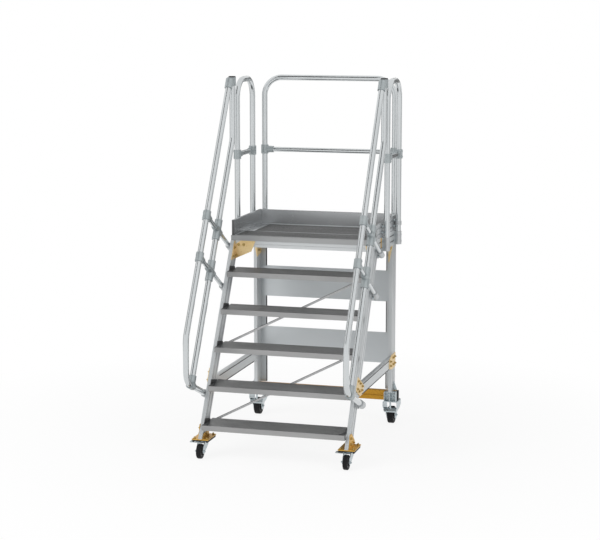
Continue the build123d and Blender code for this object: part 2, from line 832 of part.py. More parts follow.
# Steel brackets at the feet of the legs: a channel in front of the crossbeam and a gusset outside
with BuildPart() as footBrackets:
    for name, side in sides:
        near = castorX - bracketWidth / 2
        far = castorX + bracketWidth / 2
        bottom = crossbeamTop - bracketHeight
        front = crossbeamFront - bracketReach
        low = (near, crossbeamFront - plateThickness, bottom)
        add(mirrored_box(side, low, (far, crossbeamFront, crossbeamTop)))
        for start in (near, castorX - plateThickness / 2, far - plateThickness):
            low = (start, front, bottom)
            add(mirrored_box(side, low, (start + plateThickness, crossbeamFront, crossbeamTop)))
        low = (near, front, crossbeamTop - plateThickness)
        add(mirrored_box(side, low, (far, crossbeamFront, crossbeamTop)))
        with BuildSketch(Plane.XZ.offset(-crossbeamMiddle - plateThickness)):
            with BuildLine():
                Polyline(
                    (side * outerX, crossbeamTop),
                    (side * crossbeamReach, crossbeamTop),
                    (side * crossbeamReach, crossbeamTop + 2 * plateThickness),
                    (side * (outerX + plateThickness), crossbeamTop + outerGussetHeight),
                    (side * outerX, crossbeamTop + outerGussetHeight),
                    close=True,
                )
            make_face()
        extrude(amount=2 * plateThickness)
save(footBrackets, "leg_foot_brackets")

# Front castor plates: a gold plate under each stringer, with bolted flanges on both its faces
plateTop = stringerFoot
plateUnder = plateTop - castorPlateThickness
plateFront = noseY + castorPlateFront
with BuildPart() as castorPlates:
    for name, side in sides:
        low = (castorX - castorPlateWidth / 2, plateFront, plateUnder)
        high = (castorX + castorPlateWidth / 2, plateFront + castorPlateLength, plateTop)
        add(mirrored_box(side, low, high))
        flangeEnd = plateFront + castorPlateLength - flangeInset
        outline = [
            (plateFront + flangeStart, plateTop),
            (flangeEnd, plateTop),
            (flangeEnd - flangeSlant, plateTop + flangeToe),
            (plateFront + flangeTopEnd, plateTop + flangeHeight),
            (plateFront + flangeTopStart, plateTop + flangeHeight),
        ]
        add(slab(side, outline, outerX, plateThickness))
        flangeEnd = plateFront + castorPlateLength - innerFlangeInset
        outline = [
            (plateFront + flangeStart, plateTop),
            (flangeEnd, plateTop),
            (flangeEnd - flangeSlant, plateTop + innerFlangeHeight),
            (plateFront + innerFlangeTopStart, plateTop + innerFlangeHeight),
        ]
        add(slab(side, outline, innerX - plateThickness, plateThickness))
save(castorPlates, "front_castor_plates")

padUnder = plateUnder - castorPadThickness
with BuildPart() as castorPads:
    for name, side in sides:
        low = (castorX - castorPlateWidth / 2 + castorPadInset, plateFront + castorPadInset, padUnder)
        far = castorX + castorPlateWidth / 2 - castorPadInset
        high = (far, plateFront + castorPlateLength - castorPadInset, plateUnder)
        add(mirrored_box(side, low, high))
save(castorPads, "front_castor_pads")

# Front castor heads: a bolted plate, a bearing race and the kingpin that the fork turns on
swivelY = noseY + frontCastorY
raceUnder = padUnder - headPlateThickness - raceHeight
crownTop = raceUnder - swivelGap
crownUnder = crownTop - forkThickness
with BuildPart() as heads:
    for name, side in sides:
        half = headPlateWidth / 2
        low = (castorX - half, swivelY - half, padUnder - headPlateThickness)
        add(mirrored_box(side, low, (castorX + half, swivelY + half, padUnder)))
        centre = Vector(side * castorX, swivelY, 0)
        add(rod(centre + upright * raceUnder, centre + upright * (raceUnder + raceHeight), raceDiameter))
        nutTop = crownUnder - swivelGap
        nutUnder = nutTop - kingpinNutHeight
        add(rod(centre + upright * nutUnder, centre + upright * raceUnder, kingpinDiameter))
        add(rod(centre + upright * nutUnder, centre + upright * nutTop, kingpinNutDiameter))
save(heads, "front_castor_heads")


def wheel_hub(centre, diameter, width, bossWidth):
    """Recessed hub with a bored boss, turning about X."""
    half = width / 2 - hubEdge
    rim = diameter / 2 - tyreGap
    boss = bossDiameter / 2
    bore = axleDiameter / 2 + runningGap
    with BuildPart() as hub:
        with BuildSketch(Plane.XY):
            with BuildLine():
                Polyline(
                    (-bossWidth / 2, bore),
                    (-bossWidth / 2, boss),
                    (-half + hubRecess, boss + hubDraft),
                    (-half + hubRecess, rim - hubWall - hubDraft),
                    (-half, rim - hubWall),
                    (-half, rim),
                    (half, rim),
                    (half, rim - hubWall),
                    (half - hubRecess, rim - hubWall - hubDraft),
                    (half - hubRecess, boss + hubDraft),
                    (bossWidth / 2, boss),
                    (bossWidth / 2, bore),
                    close=True,
                )
            make_face()
        revolve(axis=Axis.X)
    return hub.part.moved(Location(centre))


def wheel_tyre(centre, diameter, width, hubDiameter):
    """Solid tyre ring with rounded tread edges, turning about X."""
    with BuildPart() as tyre:
        with BuildSketch(Plane.XY) as section:
            with Locations((0, (diameter + hubDiameter) / 4)):
                Rectangle(width, (diameter - hubDiameter) / 2)
            fillet(section.vertices().group_by(Axis.Y)[-1], treadRound)
        revolve(axis=Axis.X)
    return tyre.part.moved(Location(centre))


def wheel_axle(centre, reach):
    """Axle bolt along X through both fork cheeks, with a head at each end."""
    across = Vector(1, 0, 0)
    with BuildPart() as axle:
        add(rod(centre - across * reach, centre + across * reach, axleDiameter))
        for way in (-1, 1):
            face = centre + across * (way * reach)
            add(rod(face, face + across * (way * axleHeadHeight), axleHeadDiameter))
    return axle.part


# Front castors: swivelling forks with a brake lever, axle bolts and wheels
frontCheek = frontWheelWidth / 2 + frontSideGap
frontAxleZ = frontWheelDiameter / 2
frontAxleY = swivelY - frontTrail
for name, side in sides:
    x = side * castorX
    with BuildPart() as fork:
        for way in (-1, 1):
            cheekMiddle = x + way * (frontCheek + forkThickness / 2)
            with BuildSketch(Plane.YZ.offset(cheekMiddle - forkThickness / 2)):
                with BuildLine():
                    Polyline(
                        (frontAxleY - forkEye, frontAxleZ),
                        (frontAxleY - forkEye * 0.4, crownUnder - forkSkirt),
                        (swivelY - forkCrownFront, crownTop),
                        (swivelY + forkCrownBack, crownTop),
                        (swivelY + forkCrownBack - forkThickness, crownUnder - forkSkirt),
                        (frontAxleY + forkEye * 0.85, frontAxleZ - forkEye * 0.75),
                        close=True,
                    )
                make_face()
                with Locations((frontAxleY, frontAxleZ)):
                    Circle(forkEye)
                    Circle(axleDiameter / 2 + fitGap, mode=Mode.SUBTRACT)
            extrude(amount=forkThickness)
        crownFront = swivelY - forkCrownFront
        low = (x - frontCheek - forkThickness, crownFront, crownUnder)
        add(box(low, (x + frontCheek + forkThickness, swivelY + forkCrownBack, crownTop)))
        low = (x - leverReach, crownFront, crownUnder)
        add(box(low, (x - frontCheek, crownFront + leverWidth, crownTop)))
        hole = Vector(x, swivelY, crownUnder - forkThickness)
        bore = kingpinDiameter + 2 * runningGap
        add(rod(hole, hole + upright * 4 * forkThickness, bore), mode=Mode.SUBTRACT)
    save(fork, f"front_fork_{name}")

    centre = Vector(x, frontAxleY, frontAxleZ)
    with BuildPart() as axle:
        add(wheel_axle(centre, frontCheek + forkThickness))
    save(axle, f"front_axle_{name}")
    with BuildPart() as hub:
        add(wheel_hub(centre, frontHubDiameter, frontWheelWidth, 2 * (frontCheek - hubSideGap)))
    save(hub, f"front_hub_{name}")
    with BuildPart() as tyre:
        add(wheel_tyre(centre, frontWheelDiameter, frontWheelWidth, frontHubDiameter))
    save(tyre, f"front_tyre_{name}")

# Rear castors: fixed pressed forks that flare up to the crossbeam, with a guard in front of the wheel
rearCheek = rearWheelWidth / 2 + rearSideGap
rearAxleZ = rearWheelDiameter / 2
rearFoot = rearCheek + forkThickness
rearTop = rearForkTopWidth / 2
rearForkWaist = rearAxleZ + axleHeadDiameter / 2 + rearForkWaistRise
beltHalf = rearFoot + 0.65 * (rearTop - rearFoot)
beltZ = rearForkWaist + 0.47 * (rearForkShoulder - rearForkWaist)


def fork_front_face(x, wall, crown):
    """Front view of the rear fork, drawn inwards from its outer face by the wall and the crown."""
    half = (
        (rearFoot - wall, 0),
        (rearFoot - wall, rearForkWaist),
        (beltHalf - wall, beltZ),
        (rearTop - wall, rearForkShoulder),
        (rearTop - wall, crossbeamBottom - crown),
    )
    outline = [(x - reach, z) for reach, z in half] + [(x + reach, z) for reach, z in reversed(half)]
    bends = [rearForkBend] * 3 + [rearForkCorner] * 2 + [rearForkBend] * 3
    with BuildSketch(Plane.XZ) as face:
        with BuildLine():
            FilletPolyline(*outline, radius=bends)
            Line(outline[-1], outline[0])
        make_face()
    return face.sketch


def rear_fork(x):
    """Pressed fork with rounded cheeks, an arched guard between them and a stem up to the crown."""
    inner = rearAxleZ + guardGap
    guardPlace = (crossbeamMiddle - 0.89 * rearAxleZ, 1.576 * rearAxleZ)
    stemY = crossbeamMiddle - 0.61 * inner
    with BuildPart() as outer:
        add(fork_front_face(x, 0, 0).moved(Location((0, crossbeamMiddle + rearForkDepth / 2, 0))))
        extrude(amount=rearForkDepth, dir=(0, -1, 0))
    with BuildPart() as guard:
        with BuildSketch(Plane.YZ.offset(x - rearForkTopWidth)):
            with Locations((crossbeamMiddle, rearAxleZ)):
                Circle(inner + guardThickness)
                Circle(inner, mode=Mode.SUBTRACT)
            with Locations(guardPlace):
                Rectangle(0.624 * rearAxleZ, 0.768 * rearAxleZ, mode=Mode.INTERSECT)
        extrude(amount=2 * rearForkTopWidth)
        low = (x - guardStemWidth / 2, stemY - guardStemDepth, rearAxleZ + 0.8 * inner)
        add(box(low, (x + guardStemWidth / 2, stemY, crossbeamBottom)))
        add(outer.part, mode=Mode.INTERSECT)
    with BuildPart() as fork:
        add(outer.part)
        hollow = fork_front_face(x, forkThickness, crownThickness)
        add(hollow.moved(Location((0, crossbeamMiddle + rearForkDepth, 0))))
        extrude(amount=2 * rearForkDepth, dir=(0, -1, 0), mode=Mode.SUBTRACT)
        with BuildSketch(Plane.YZ.offset(x - rearForkTopWidth)):
            with BuildLine():
                Polyline(
                    (crossbeamMiddle - rearForkDepth / 2, crossbeamBottom),
                    (crossbeamMiddle + rearForkDepth / 2, crossbeamBottom),
                    (crossbeamMiddle + rearForkDepth / 2, rearForkShoulder),
                    (crossbeamMiddle + rearForkBelly / 2, beltZ),
                    (crossbeamMiddle + rearForkEnd, rearAxleZ),
                    (crossbeamMiddle - rearForkEnd, rearAxleZ),
                    (crossbeamMiddle - rearForkBelly / 2, beltZ),
                    (crossbeamMiddle - rearForkDepth / 2, rearForkShoulder),
                    close=True,
                )
            make_face()
            with Locations((crossbeamMiddle, rearAxleZ)):
                Circle(rearForkEnd)
                Circle(axleDiameter / 2 + fitGap, mode=Mode.SUBTRACT)
        extrude(amount=2 * rearForkTopWidth, mode=Mode.INTERSECT)
        add(guard.part)
    return fork.part


with BuildPart() as rearForks:
    for name, side in sides:
        add(rear_fork(side * castorX))
save(rearForks, "rear_castor_forks")

with BuildPart() as rearAxles:
    for name, side in sides:
        add(wheel_axle(Vector(side * castorX, crossbeamMiddle, rearAxleZ), rearFoot))
save(rearAxles, "rear_axles")

for name, side in sides:
    centre = Vector(side * castorX, crossbeamMiddle, rearAxleZ)
    with BuildPart() as hub:
        add(wheel_hub(centre, rearHubDiameter, rearWheelWidth, 2 * (rearCheek - hubSideGap)))
    save(hub, f"rear_hub_{name}")
    with BuildPart() as tyre:
        add(wheel_tyre(centre, rearWheelDiameter, rearWheelWidth, rearHubDiameter))
    save(tyre, f"rear_tyre_{name}")
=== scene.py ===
import bpy
import math
from mathutils import Matrix, Vector


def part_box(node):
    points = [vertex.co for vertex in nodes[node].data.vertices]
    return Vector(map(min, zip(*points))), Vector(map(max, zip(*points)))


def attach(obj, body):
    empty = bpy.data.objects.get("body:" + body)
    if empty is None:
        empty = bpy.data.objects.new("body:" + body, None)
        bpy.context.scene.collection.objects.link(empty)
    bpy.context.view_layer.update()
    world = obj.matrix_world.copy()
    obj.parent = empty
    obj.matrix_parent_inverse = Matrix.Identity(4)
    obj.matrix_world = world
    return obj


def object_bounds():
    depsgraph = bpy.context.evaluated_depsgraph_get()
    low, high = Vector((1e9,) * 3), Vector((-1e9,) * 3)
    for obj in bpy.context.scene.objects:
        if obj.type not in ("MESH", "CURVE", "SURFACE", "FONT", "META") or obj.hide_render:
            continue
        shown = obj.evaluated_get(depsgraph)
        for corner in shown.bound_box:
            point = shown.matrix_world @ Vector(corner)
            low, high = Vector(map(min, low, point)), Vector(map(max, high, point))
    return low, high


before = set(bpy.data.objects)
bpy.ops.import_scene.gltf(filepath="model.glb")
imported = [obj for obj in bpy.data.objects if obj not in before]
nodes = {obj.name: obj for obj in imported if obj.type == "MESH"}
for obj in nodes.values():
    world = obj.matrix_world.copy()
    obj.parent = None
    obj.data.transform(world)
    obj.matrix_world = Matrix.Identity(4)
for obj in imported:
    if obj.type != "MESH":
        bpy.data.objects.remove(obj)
cadLow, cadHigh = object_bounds()
print("frame loaded:", len(nodes), "nodes")


# Shader helpers

# Group with a Vector input, number inputs at their usual values, and number outputs
def newGroup(name, inputs, outputs):
    group = bpy.data.node_groups.new(name, "ShaderNodeTree")
    group.interface.new_socket("Vector", in_out="INPUT", socket_type="NodeSocketVector")
    for label, value in inputs.items():
        socket = group.interface.new_socket(label, in_out="INPUT", socket_type="NodeSocketFloat")
        socket.default_value = value
    for label in outputs:
        group.interface.new_socket(label, in_out="OUTPUT", socket_type="NodeSocketFloat")
    entry = group.nodes.new("NodeGroupInput")
    leave = group.nodes.new("NodeGroupOutput")
    return group, entry, leave


def addNode(tree, kind, **settings):
    node = tree.nodes.new(kind)
    for key, value in settings.items():
        setattr(node, key, value)
    return node


def noise(tree, vector, scale, detail):
    node = addNode(tree, "ShaderNodeTexNoise", noise_dimensions="3D")
    node.inputs["Detail"].default_value = detail
    tree.links.new(vector, node.inputs["Vector"])
    if isinstance(scale, float):
        node.inputs["Scale"].default_value = scale
    else:
        tree.links.new(scale, node.inputs["Scale"])
    return node.outputs["Fac"]


noiseRange = (0.3, 0.7)  # where most of a noise lies


# Colour from dark to light over a noise
def shaded(tree, source, dark, light):
    node = addNode(tree, "ShaderNodeValToRGB")
    for element, place, colour in zip(node.color_ramp.elements, noiseRange, (dark, light)):
        element.position = place
        element.color = (*colour, 1)
    tree.links.new(source, node.inputs["Fac"])
    return node.outputs["Color"]


def spread(tree, source, fromLow, fromHigh, low, high):
    node = addNode(tree, "ShaderNodeMapRange")
    node.inputs["From Min"].default_value = fromLow
    node.inputs["From Max"].default_value = fromHigh
    node.inputs["To Min"].default_value = low
    node.inputs["To Max"].default_value = high
    tree.links.new(source, node.inputs["Value"])
    return node.outputs["Result"]


def mixColour(tree, share, first, second):
    node = addNode(tree, "ShaderNodeMix", data_type="RGBA")
    tree.links.new(share, node.inputs["Factor"])
    for value, socket in ((first, node.inputs["A"]), (second, node.inputs["B"])):
        if isinstance(value, tuple):
            socket.default_value = (*value, 1)
        else:
            tree.links.new(value, socket)
    return node.outputs["Result"]


def combine(tree, operation, first, second):
    node = addNode(tree, "ShaderNodeMath", operation=operation)
    for value, socket in ((first, node.inputs[0]), (second, node.inputs[1])):
        if isinstance(value, float):
            socket.default_value = value
        else:
            tree.links.new(value, socket)
    return node.outputs[0]


def stretched(tree, vector, scale):
    node = addNode(tree, "ShaderNodeMapping")
    node.inputs["Scale"].default_value = scale
    tree.links.new(vector, node.inputs["Vector"])
    return node.outputs["Vector"]


# Drawn or extruded metal along X: long fine lines, soft clouds of handling and short thin scuffs
drawnSet = {
    "lineStretch": (0.015, 1.0, 1.0), "lineDetail": 2.0,
    "cloudStretch": (0.4, 1.0, 1.0), "cloudDetail": 4.0,
    "markStretch": (0.06, 1.0, 1.0), "markScale": 420.0, "markDetail": 1.0, "markRange": (0.66, 0.74),
    "patchScale": 5.0, "patchDetail": 2.0, "patchRange": (0.52, 0.66),
}


def makeDrawnLines():
    usual = {"Lines": 400.0, "Clouds": 6.0}
    group, entry, leave = newGroup("drawnLines", usual, ("Lines", "Clouds", "Scuffs"))
    vector = entry.outputs["Vector"]
    lineSpace = stretched(group, vector, drawnSet["lineStretch"])
    lines = noise(group, lineSpace, entry.outputs["Lines"], drawnSet["lineDetail"])
    cloudSpace = stretched(group, vector, drawnSet["cloudStretch"])
    clouds = noise(group, cloudSpace, entry.outputs["Clouds"], drawnSet["cloudDetail"])
    markSpace = stretched(group, vector, drawnSet["markStretch"])
    marks = noise(group, markSpace, drawnSet["markScale"], drawnSet["markDetail"])
    patches = noise(group, vector, drawnSet["patchScale"], drawnSet["patchDetail"])
    thin = spread(group, marks, *drawnSet["markRange"], 0.0, 1.0)
    rare = spread(group, patches, *drawnSet["patchRange"], 0.0, 1.0)
    group.links.new(lines, leave.inputs["Lines"])
    group.links.new(clouds, leave.inputs["Clouds"])
    group.links.new(combine(group, "MULTIPLY", thin, rare), leave.inputs["Scuffs"])
    return group


# Fine pitting of a casting, moulding or plated sheet, with a slow change of shade and small rubbed spots
pitSet = {
    "pitDetail": 3.0, "shadeDetail": 3.0,
    "spotScale": 95.0, "spotDetail": 4.0, "spotRange": (0.60, 0.70),
}


def makeFinePits():
    usual = {"Pits": 500.0, "Shade": 9.0}
    group, entry, leave = newGroup("finePits", usual, ("Pits", "Shade", "Rubs"))
    vector = entry.outputs["Vector"]
    pits = noise(group, vector, entry.outputs["Pits"], pitSet["pitDetail"])
    shade = noise(group, vector, entry.outputs["Shade"], pitSet["shadeDetail"])
    spots = noise(group, vector, pitSet["spotScale"], pitSet["spotDetail"])
    group.links.new(pits, leave.inputs["Pits"])
    group.links.new(shade, leave.inputs["Shade"])
    group.links.new(spread(group, spots, *pitSet["spotRange"], 0.0, 1.0), leave.inputs["Rubs"])
    return group


drawnLines = makeDrawnLines()
finePits = makeFinePits()


def startMaterial(name, look):
    material = bpy.data.materials.new(name)
    material.use_nodes = True
    tree = material.node_tree
    shader = tree.nodes["Principled BSDF"]
    shader.inputs["Metallic"].default_value = look["metallic"]
    shader.inputs["Specular IOR Level"].default_value = look["specular"]
    place = addNode(tree, "ShaderNodeTexCoord")
    return material, tree, shader, place.outputs["Object"]


# Normal with eased edges and the fine relief on top
def finishNormal(tree, shader, height, look, depth):
    eased = addNode(tree, "ShaderNodeBevel", samples=4)
    eased.inputs["Radius"].default_value = look["edge"]
    bump = addNode(tree, "ShaderNodeBump")
    bump.inputs["Strength"].default_value = look["bump"]
    bump.inputs["Distance"].default_value = depth
    tree.links.new(height, bump.inputs["Height"])
    tree.links.new(eased.outputs["Normal"], bump.inputs["Normal"])
    tree.links.new(bump.outputs["Normal"], shader.inputs["Normal"])


# Share of the surface that faces one way along an axis, from the rest normal
def facing(tree, axis, low, high):
    shape = addNode(tree, "ShaderNodeNewGeometry")
    parts = addNode(tree, "ShaderNodeSeparateXYZ")
    tree.links.new(shape.outputs["True Normal"], parts.inputs["Vector"])
    return spread(tree, parts.outputs[axis], low, high, 0.0, 1.0)


# Metal drawn along one direction: turn lines that direction up with X before it is stretched
drawnRelief = {"depth": 0.0002, "scuffRough": 0.12, "topRange": (0.4, 0.6), "bandEase": 0.001}


def drawnMetal(name, look, turn):
    material, tree, shader, place = startMaterial(name, look)
    turned = addNode(tree, "ShaderNodeMapping")
    turned.inputs["Rotation"].default_value = turn
    surface = addNode(tree, "ShaderNodeGroup", node_tree=drawnLines)
    surface.inputs["Lines"].default_value = look["lines"]
    surface.inputs["Clouds"].default_value = look["clouds"]
    tree.links.new(place, turned.inputs["Vector"])
    tree.links.new(turned.outputs["Vector"], surface.inputs["Vector"])
    clouds = surface.outputs["Clouds"]
    scuffs = surface.outputs["Scuffs"]
    colour = shaded(tree, clouds, look["dark"], look["light"])
    if "top" in look:
        topColour = shaded(tree, clouds, look["top"], look["topLight"])
        colour = mixColour(tree, facing(tree, "Z", *drawnRelief["topRange"]), colour, topColour)
    if "band" in look:
        parts = addNode(tree, "ShaderNodeSeparateXYZ")
        tree.links.new(place, parts.inputs["Vector"])
        bandEnd = look["band"] + drawnRelief["bandEase"]
        over = spread(tree, parts.outputs["Z"], look["band"], bandEnd, 0.0, 1.0)
        bandColour = shaded(tree, clouds, look["bandDark"], look["bandLight"])
        colour = mixColour(tree, over, colour, bandColour)
    colour = mixColour(tree, scuffs, colour, look["scuff"])
    tree.links.new(colour, shader.inputs["Base Color"])
    rough = spread(tree, surface.outputs[look["roughBy"]], *noiseRange, *look["rough"])
    scuffed = combine(tree, "MULTIPLY", scuffs, drawnRelief["scuffRough"])
    tree.links.new(combine(tree, "ADD", rough, scuffed), shader.inputs["Roughness"])
    finishNormal(tree, shader, surface.outputs["Lines"], look, drawnRelief["depth"])
    return material


pitDepth = 0.0004


def pittedSurface(name, look):
    material, tree, shader, place = startMaterial(name, look)
    surface = addNode(tree, "ShaderNodeGroup", node_tree=finePits)
    surface.inputs["Pits"].default_value = look["pits"]
    surface.inputs["Shade"].default_value = look["shade"]
    tree.links.new(place, surface.inputs["Vector"])
    colour = shaded(tree, surface.outputs["Shade"], look["dark"], look["light"])
    colour = mixColour(tree, surface.outputs["Rubs"], colour, look["rub"])
    tree.links.new(colour, shader.inputs["Base Color"])
    rough = spread(tree, surface.outputs["Shade"], *noiseRange, *look["rough"])
    tree.links.new(rough, shader.inputs["Roughness"])
    finishNormal(tree, shader, surface.outputs["Pits"], look, pitDepth)
    return material


alongX = (0.0, 0.0, 0.0)
alongY = (0.0, 0.0, math.radians(-90))
alongZ = (0.0, math.radians(90), 0.0)
alongSlope = (math.radians(-60), 0.0, math.radians(-90))

# Drawn metals
profile = {
    "dark": (0.56, 0.585, 0.595), "light": (0.65, 0.675, 0.685), "scuff": (0.49, 0.51, 0.515),
    "metallic": 0.4, "specular": 0.5, "rough": (0.30, 0.42), "roughBy": "Lines",
    "lines": 900.0, "clouds": 5.0, "bump": 0.05, "edge": 0.0012,
}
tube = {
    "dark": (0.58, 0.605, 0.615), "light": (0.66, 0.685, 0.695), "scuff": (0.50, 0.515, 0.52),
    "metallic": 0.9, "specular": 0.5, "rough": (0.13, 0.19), "roughBy": "Clouds",
    "lines": 500.0, "clouds": 4.0, "bump": 0.0, "edge": 0.0005,
}
tread = {
    "dark": (0.32, 0.32, 0.32), "light": (0.41, 0.41, 0.41), "scuff": (0.24, 0.24, 0.24),
    "top": (0.165, 0.167, 0.168), "topLight": (0.27, 0.272, 0.273),
    "metallic": 0.65, "specular": 0.3, "rough": (0.30, 0.40), "roughBy": "Lines",
    "lines": 700.0, "clouds": 6.0, "bump": 0.06, "edge": 0.0012,
}
deck = {
    **tread, "top": (0.072, 0.075, 0.076), "topLight": (0.110, 0.113, 0.114),
    "metallic": 0.2, "specular": 0.05, "rough": (0.50, 0.62),
}
frontBeam = {
    "dark": (0.60, 0.62, 0.63), "light": (0.68, 0.70, 0.71), "scuff": (0.46, 0.46, 0.46),
    "band": 1.385, "bandDark": (0.34, 0.345, 0.348), "bandLight": (0.44, 0.445, 0.448),
    "metallic": 0.7, "specular": 0.5, "rough": (0.28, 0.42), "roughBy": "Lines",
    "lines": 800.0, "clouds": 3.0, "bump": 0.06, "edge": 0.0015,
}
toe = {
    "dark": (0.455, 0.47, 0.48), "light": (0.57, 0.585, 0.595), "scuff": (0.48, 0.49, 0.495),
    "metallic": 0.7, "specular": 0.5, "rough": (0.20, 0.28), "roughBy": "Clouds",
    "lines": 900.0, "clouds": 2.5, "bump": 0.04, "edge": 0.0015,
}
sheet = {
    "dark": (0.54, 0.57, 0.585), "light": (0.62, 0.65, 0.665), "scuff": (0.50, 0.51, 0.515),
    "metallic": 0.7, "specular": 0.5, "rough": (0.30, 0.40), "roughBy": "Lines",
    "lines": 600.0, "clouds": 2.0, "bump": 0.04, "edge": 0.001,
}
brace = {
    "dark": (0.58, 0.585, 0.59), "light": (0.68, 0.685, 0.69), "scuff": (0.50, 0.50, 0.50),
    "metallic": 0.8, "specular": 0.5, "rough": (0.28, 0.40), "roughBy": "Lines",
    "lines": 700.0, "clouds": 8.0, "bump": 0.05, "edge": 0.0025,
}
beamGold = {
    "dark": (0.52, 0.25, 0.014), "light": (0.64, 0.33, 0.028), "scuff": (0.44, 0.22, 0.03),
    "metallic": 0.5, "specular": 0.5, "rough": (0.34, 0.46), "roughBy": "Lines",
    "lines": 800.0, "clouds": 6.0, "bump": 0.08, "edge": 0.002,
}

# Plated, cast and moulded surfaces
goldPale = {
    "dark": (0.80, 0.58, 0.27), "light": (0.93, 0.72, 0.39), "rub": (0.62, 0.42, 0.18),
    "metallic": 0.3, "specular": 0.5, "rough": (0.36, 0.50),
    "pits": 900.0, "shade": 14.0, "bump": 0.06, "edge": 0.0012,
}
gold = {
    "dark": (0.62, 0.35, 0.05), "light": (0.76, 0.46, 0.10), "rub": (0.52, 0.30, 0.06),
    "metallic": 0.5, "specular": 0.5, "rough": (0.34, 0.48),
    "pits": 900.0, "shade": 16.0, "bump": 0.08, "edge": 0.0012,
}
boltGold = {
    "dark": (0.46, 0.32, 0.10), "light": (0.62, 0.45, 0.18), "rub": (0.32, 0.23, 0.09),
    "metallic": 0.8, "specular": 0.5, "rough": (0.28, 0.44),
    "pits": 900.0, "shade": 60.0, "bump": 0.06, "edge": 0.0004,
}
cast = {
    "dark": (0.37, 0.41, 0.42), "light": (0.47, 0.51, 0.52), "rub": (0.35, 0.385, 0.39),
    "metallic": 0.7, "specular": 0.5, "rough": (0.36, 0.50),
    "pits": 650.0, "shade": 20.0, "bump": 0.14, "edge": 0.002,
}
castPale = {
    "dark": (0.50, 0.52, 0.53), "light": (0.60, 0.62, 0.63), "rub": (0.45, 0.465, 0.475),
    "metallic": 0.7, "specular": 0.5, "rough": (0.34, 0.48),
    "pits": 650.0, "shade": 20.0, "bump": 0.12, "edge": 0.002,
}
zinc = {
    "dark": (0.46, 0.52, 0.54), "light": (0.58, 0.64, 0.66), "rub": (0.45, 0.50, 0.52),
    "metallic": 0.8, "specular": 0.5, "rough": (0.26, 0.40),
    "pits": 800.0, "shade": 26.0, "bump": 0.06, "edge": 0.0012,
}
blackPart = {
    "dark": (0.008, 0.008, 0.009), "light": (0.016, 0.016, 0.017), "rub": (0.028, 0.028, 0.028),
    "metallic": 0.0, "specular": 0.25, "rough": (0.42, 0.58),
    "pits": 900.0, "shade": 20.0, "bump": 0.15, "edge": 0.001,
}
# Dark plastic of the step caps and brackets; it also paints shade at the step ends and a reflection on the
# treads
capDarkAndShade = {
    "dark": (0.045, 0.046, 0.048), "light": (0.075, 0.076, 0.078), "rub": (0.10, 0.10, 0.10),
    "metallic": 0.0, "specular": 0.3, "rough": (0.40, 0.55),
    "pits": 900.0, "shade": 30.0, "bump": 0.1, "edge": 0.0008,
}
# Dark grey that paints shade: in the slots, on the brace faces and on the toe board ends
paintedShadeGrey = {
    "dark": (0.085, 0.087, 0.09), "light": (0.125, 0.127, 0.13), "rub": (0.15, 0.15, 0.15),
    "metallic": 0.3, "specular": 0.3, "rough": (0.40, 0.55),
    "pits": 900.0, "shade": 30.0, "bump": 0.05, "edge": 0.0004,
}
rubber = {
    "dark": (0.007, 0.007, 0.008), "light": (0.014, 0.014, 0.015), "rub": (0.034, 0.033, 0.032),
    "metallic": 0.0, "specular": 0.2, "rough": (0.52, 0.72),
    "pits": 700.0, "shade": 30.0, "bump": 0.25, "edge": 0.001,
}
hubGrey = {
    "dark": (0.055, 0.055, 0.058), "light": (0.085, 0.085, 0.088), "rub": (0.12, 0.12, 0.12),
    "metallic": 0.0, "specular": 0.3, "rough": (0.36, 0.5),
    "pits": 900.0, "shade": 30.0, "bump": 0.1, "edge": 0.0008,
}

drawnFinishes = {
    "profileX": (profile, alongX),
    "profileY": (profile, alongY),
    "profileZ": (profile, alongZ),
    "profileSlope": (profile, alongSlope),
    "tubeX": (tube, alongX),
    "tubeY": (tube, alongY),
    "tubeZ": (tube, alongZ),
    "tubeSlope": (tube, alongSlope),
    "treadX": (tread, alongX),
    "deckX": (deck, alongX),
    "frontBeam": (frontBeam, alongX),
    "toeX": (toe, alongX),
    "toeY": (toe, alongY),
    "sheetX": (sheet, alongX),
    "braceSteel": (brace, alongX),
    "beamGold": (beamGold, alongX),
}
pittedFinishes = {
    "goldZinc": gold,
    "goldPale": goldPale,
    "boltGold": boltGold,
    "castGrey": cast,
    "castPale": castPale,
    "zincSteel": zinc,
    "blackPart": blackPart,
    "capDarkAndShade": capDarkAndShade,
    "paintedShadeGrey": paintedShadeGrey,
    "tyreRubber": rubber,
    "hubGrey": hubGrey,
}
finishes = {}
for name, (look, turn) in drawnFinishes.items():
    finishes[name] = drawnMetal(name, look, turn)
for name, look in pittedFinishes.items():
    finishes[name] = pittedSurface(name, look)

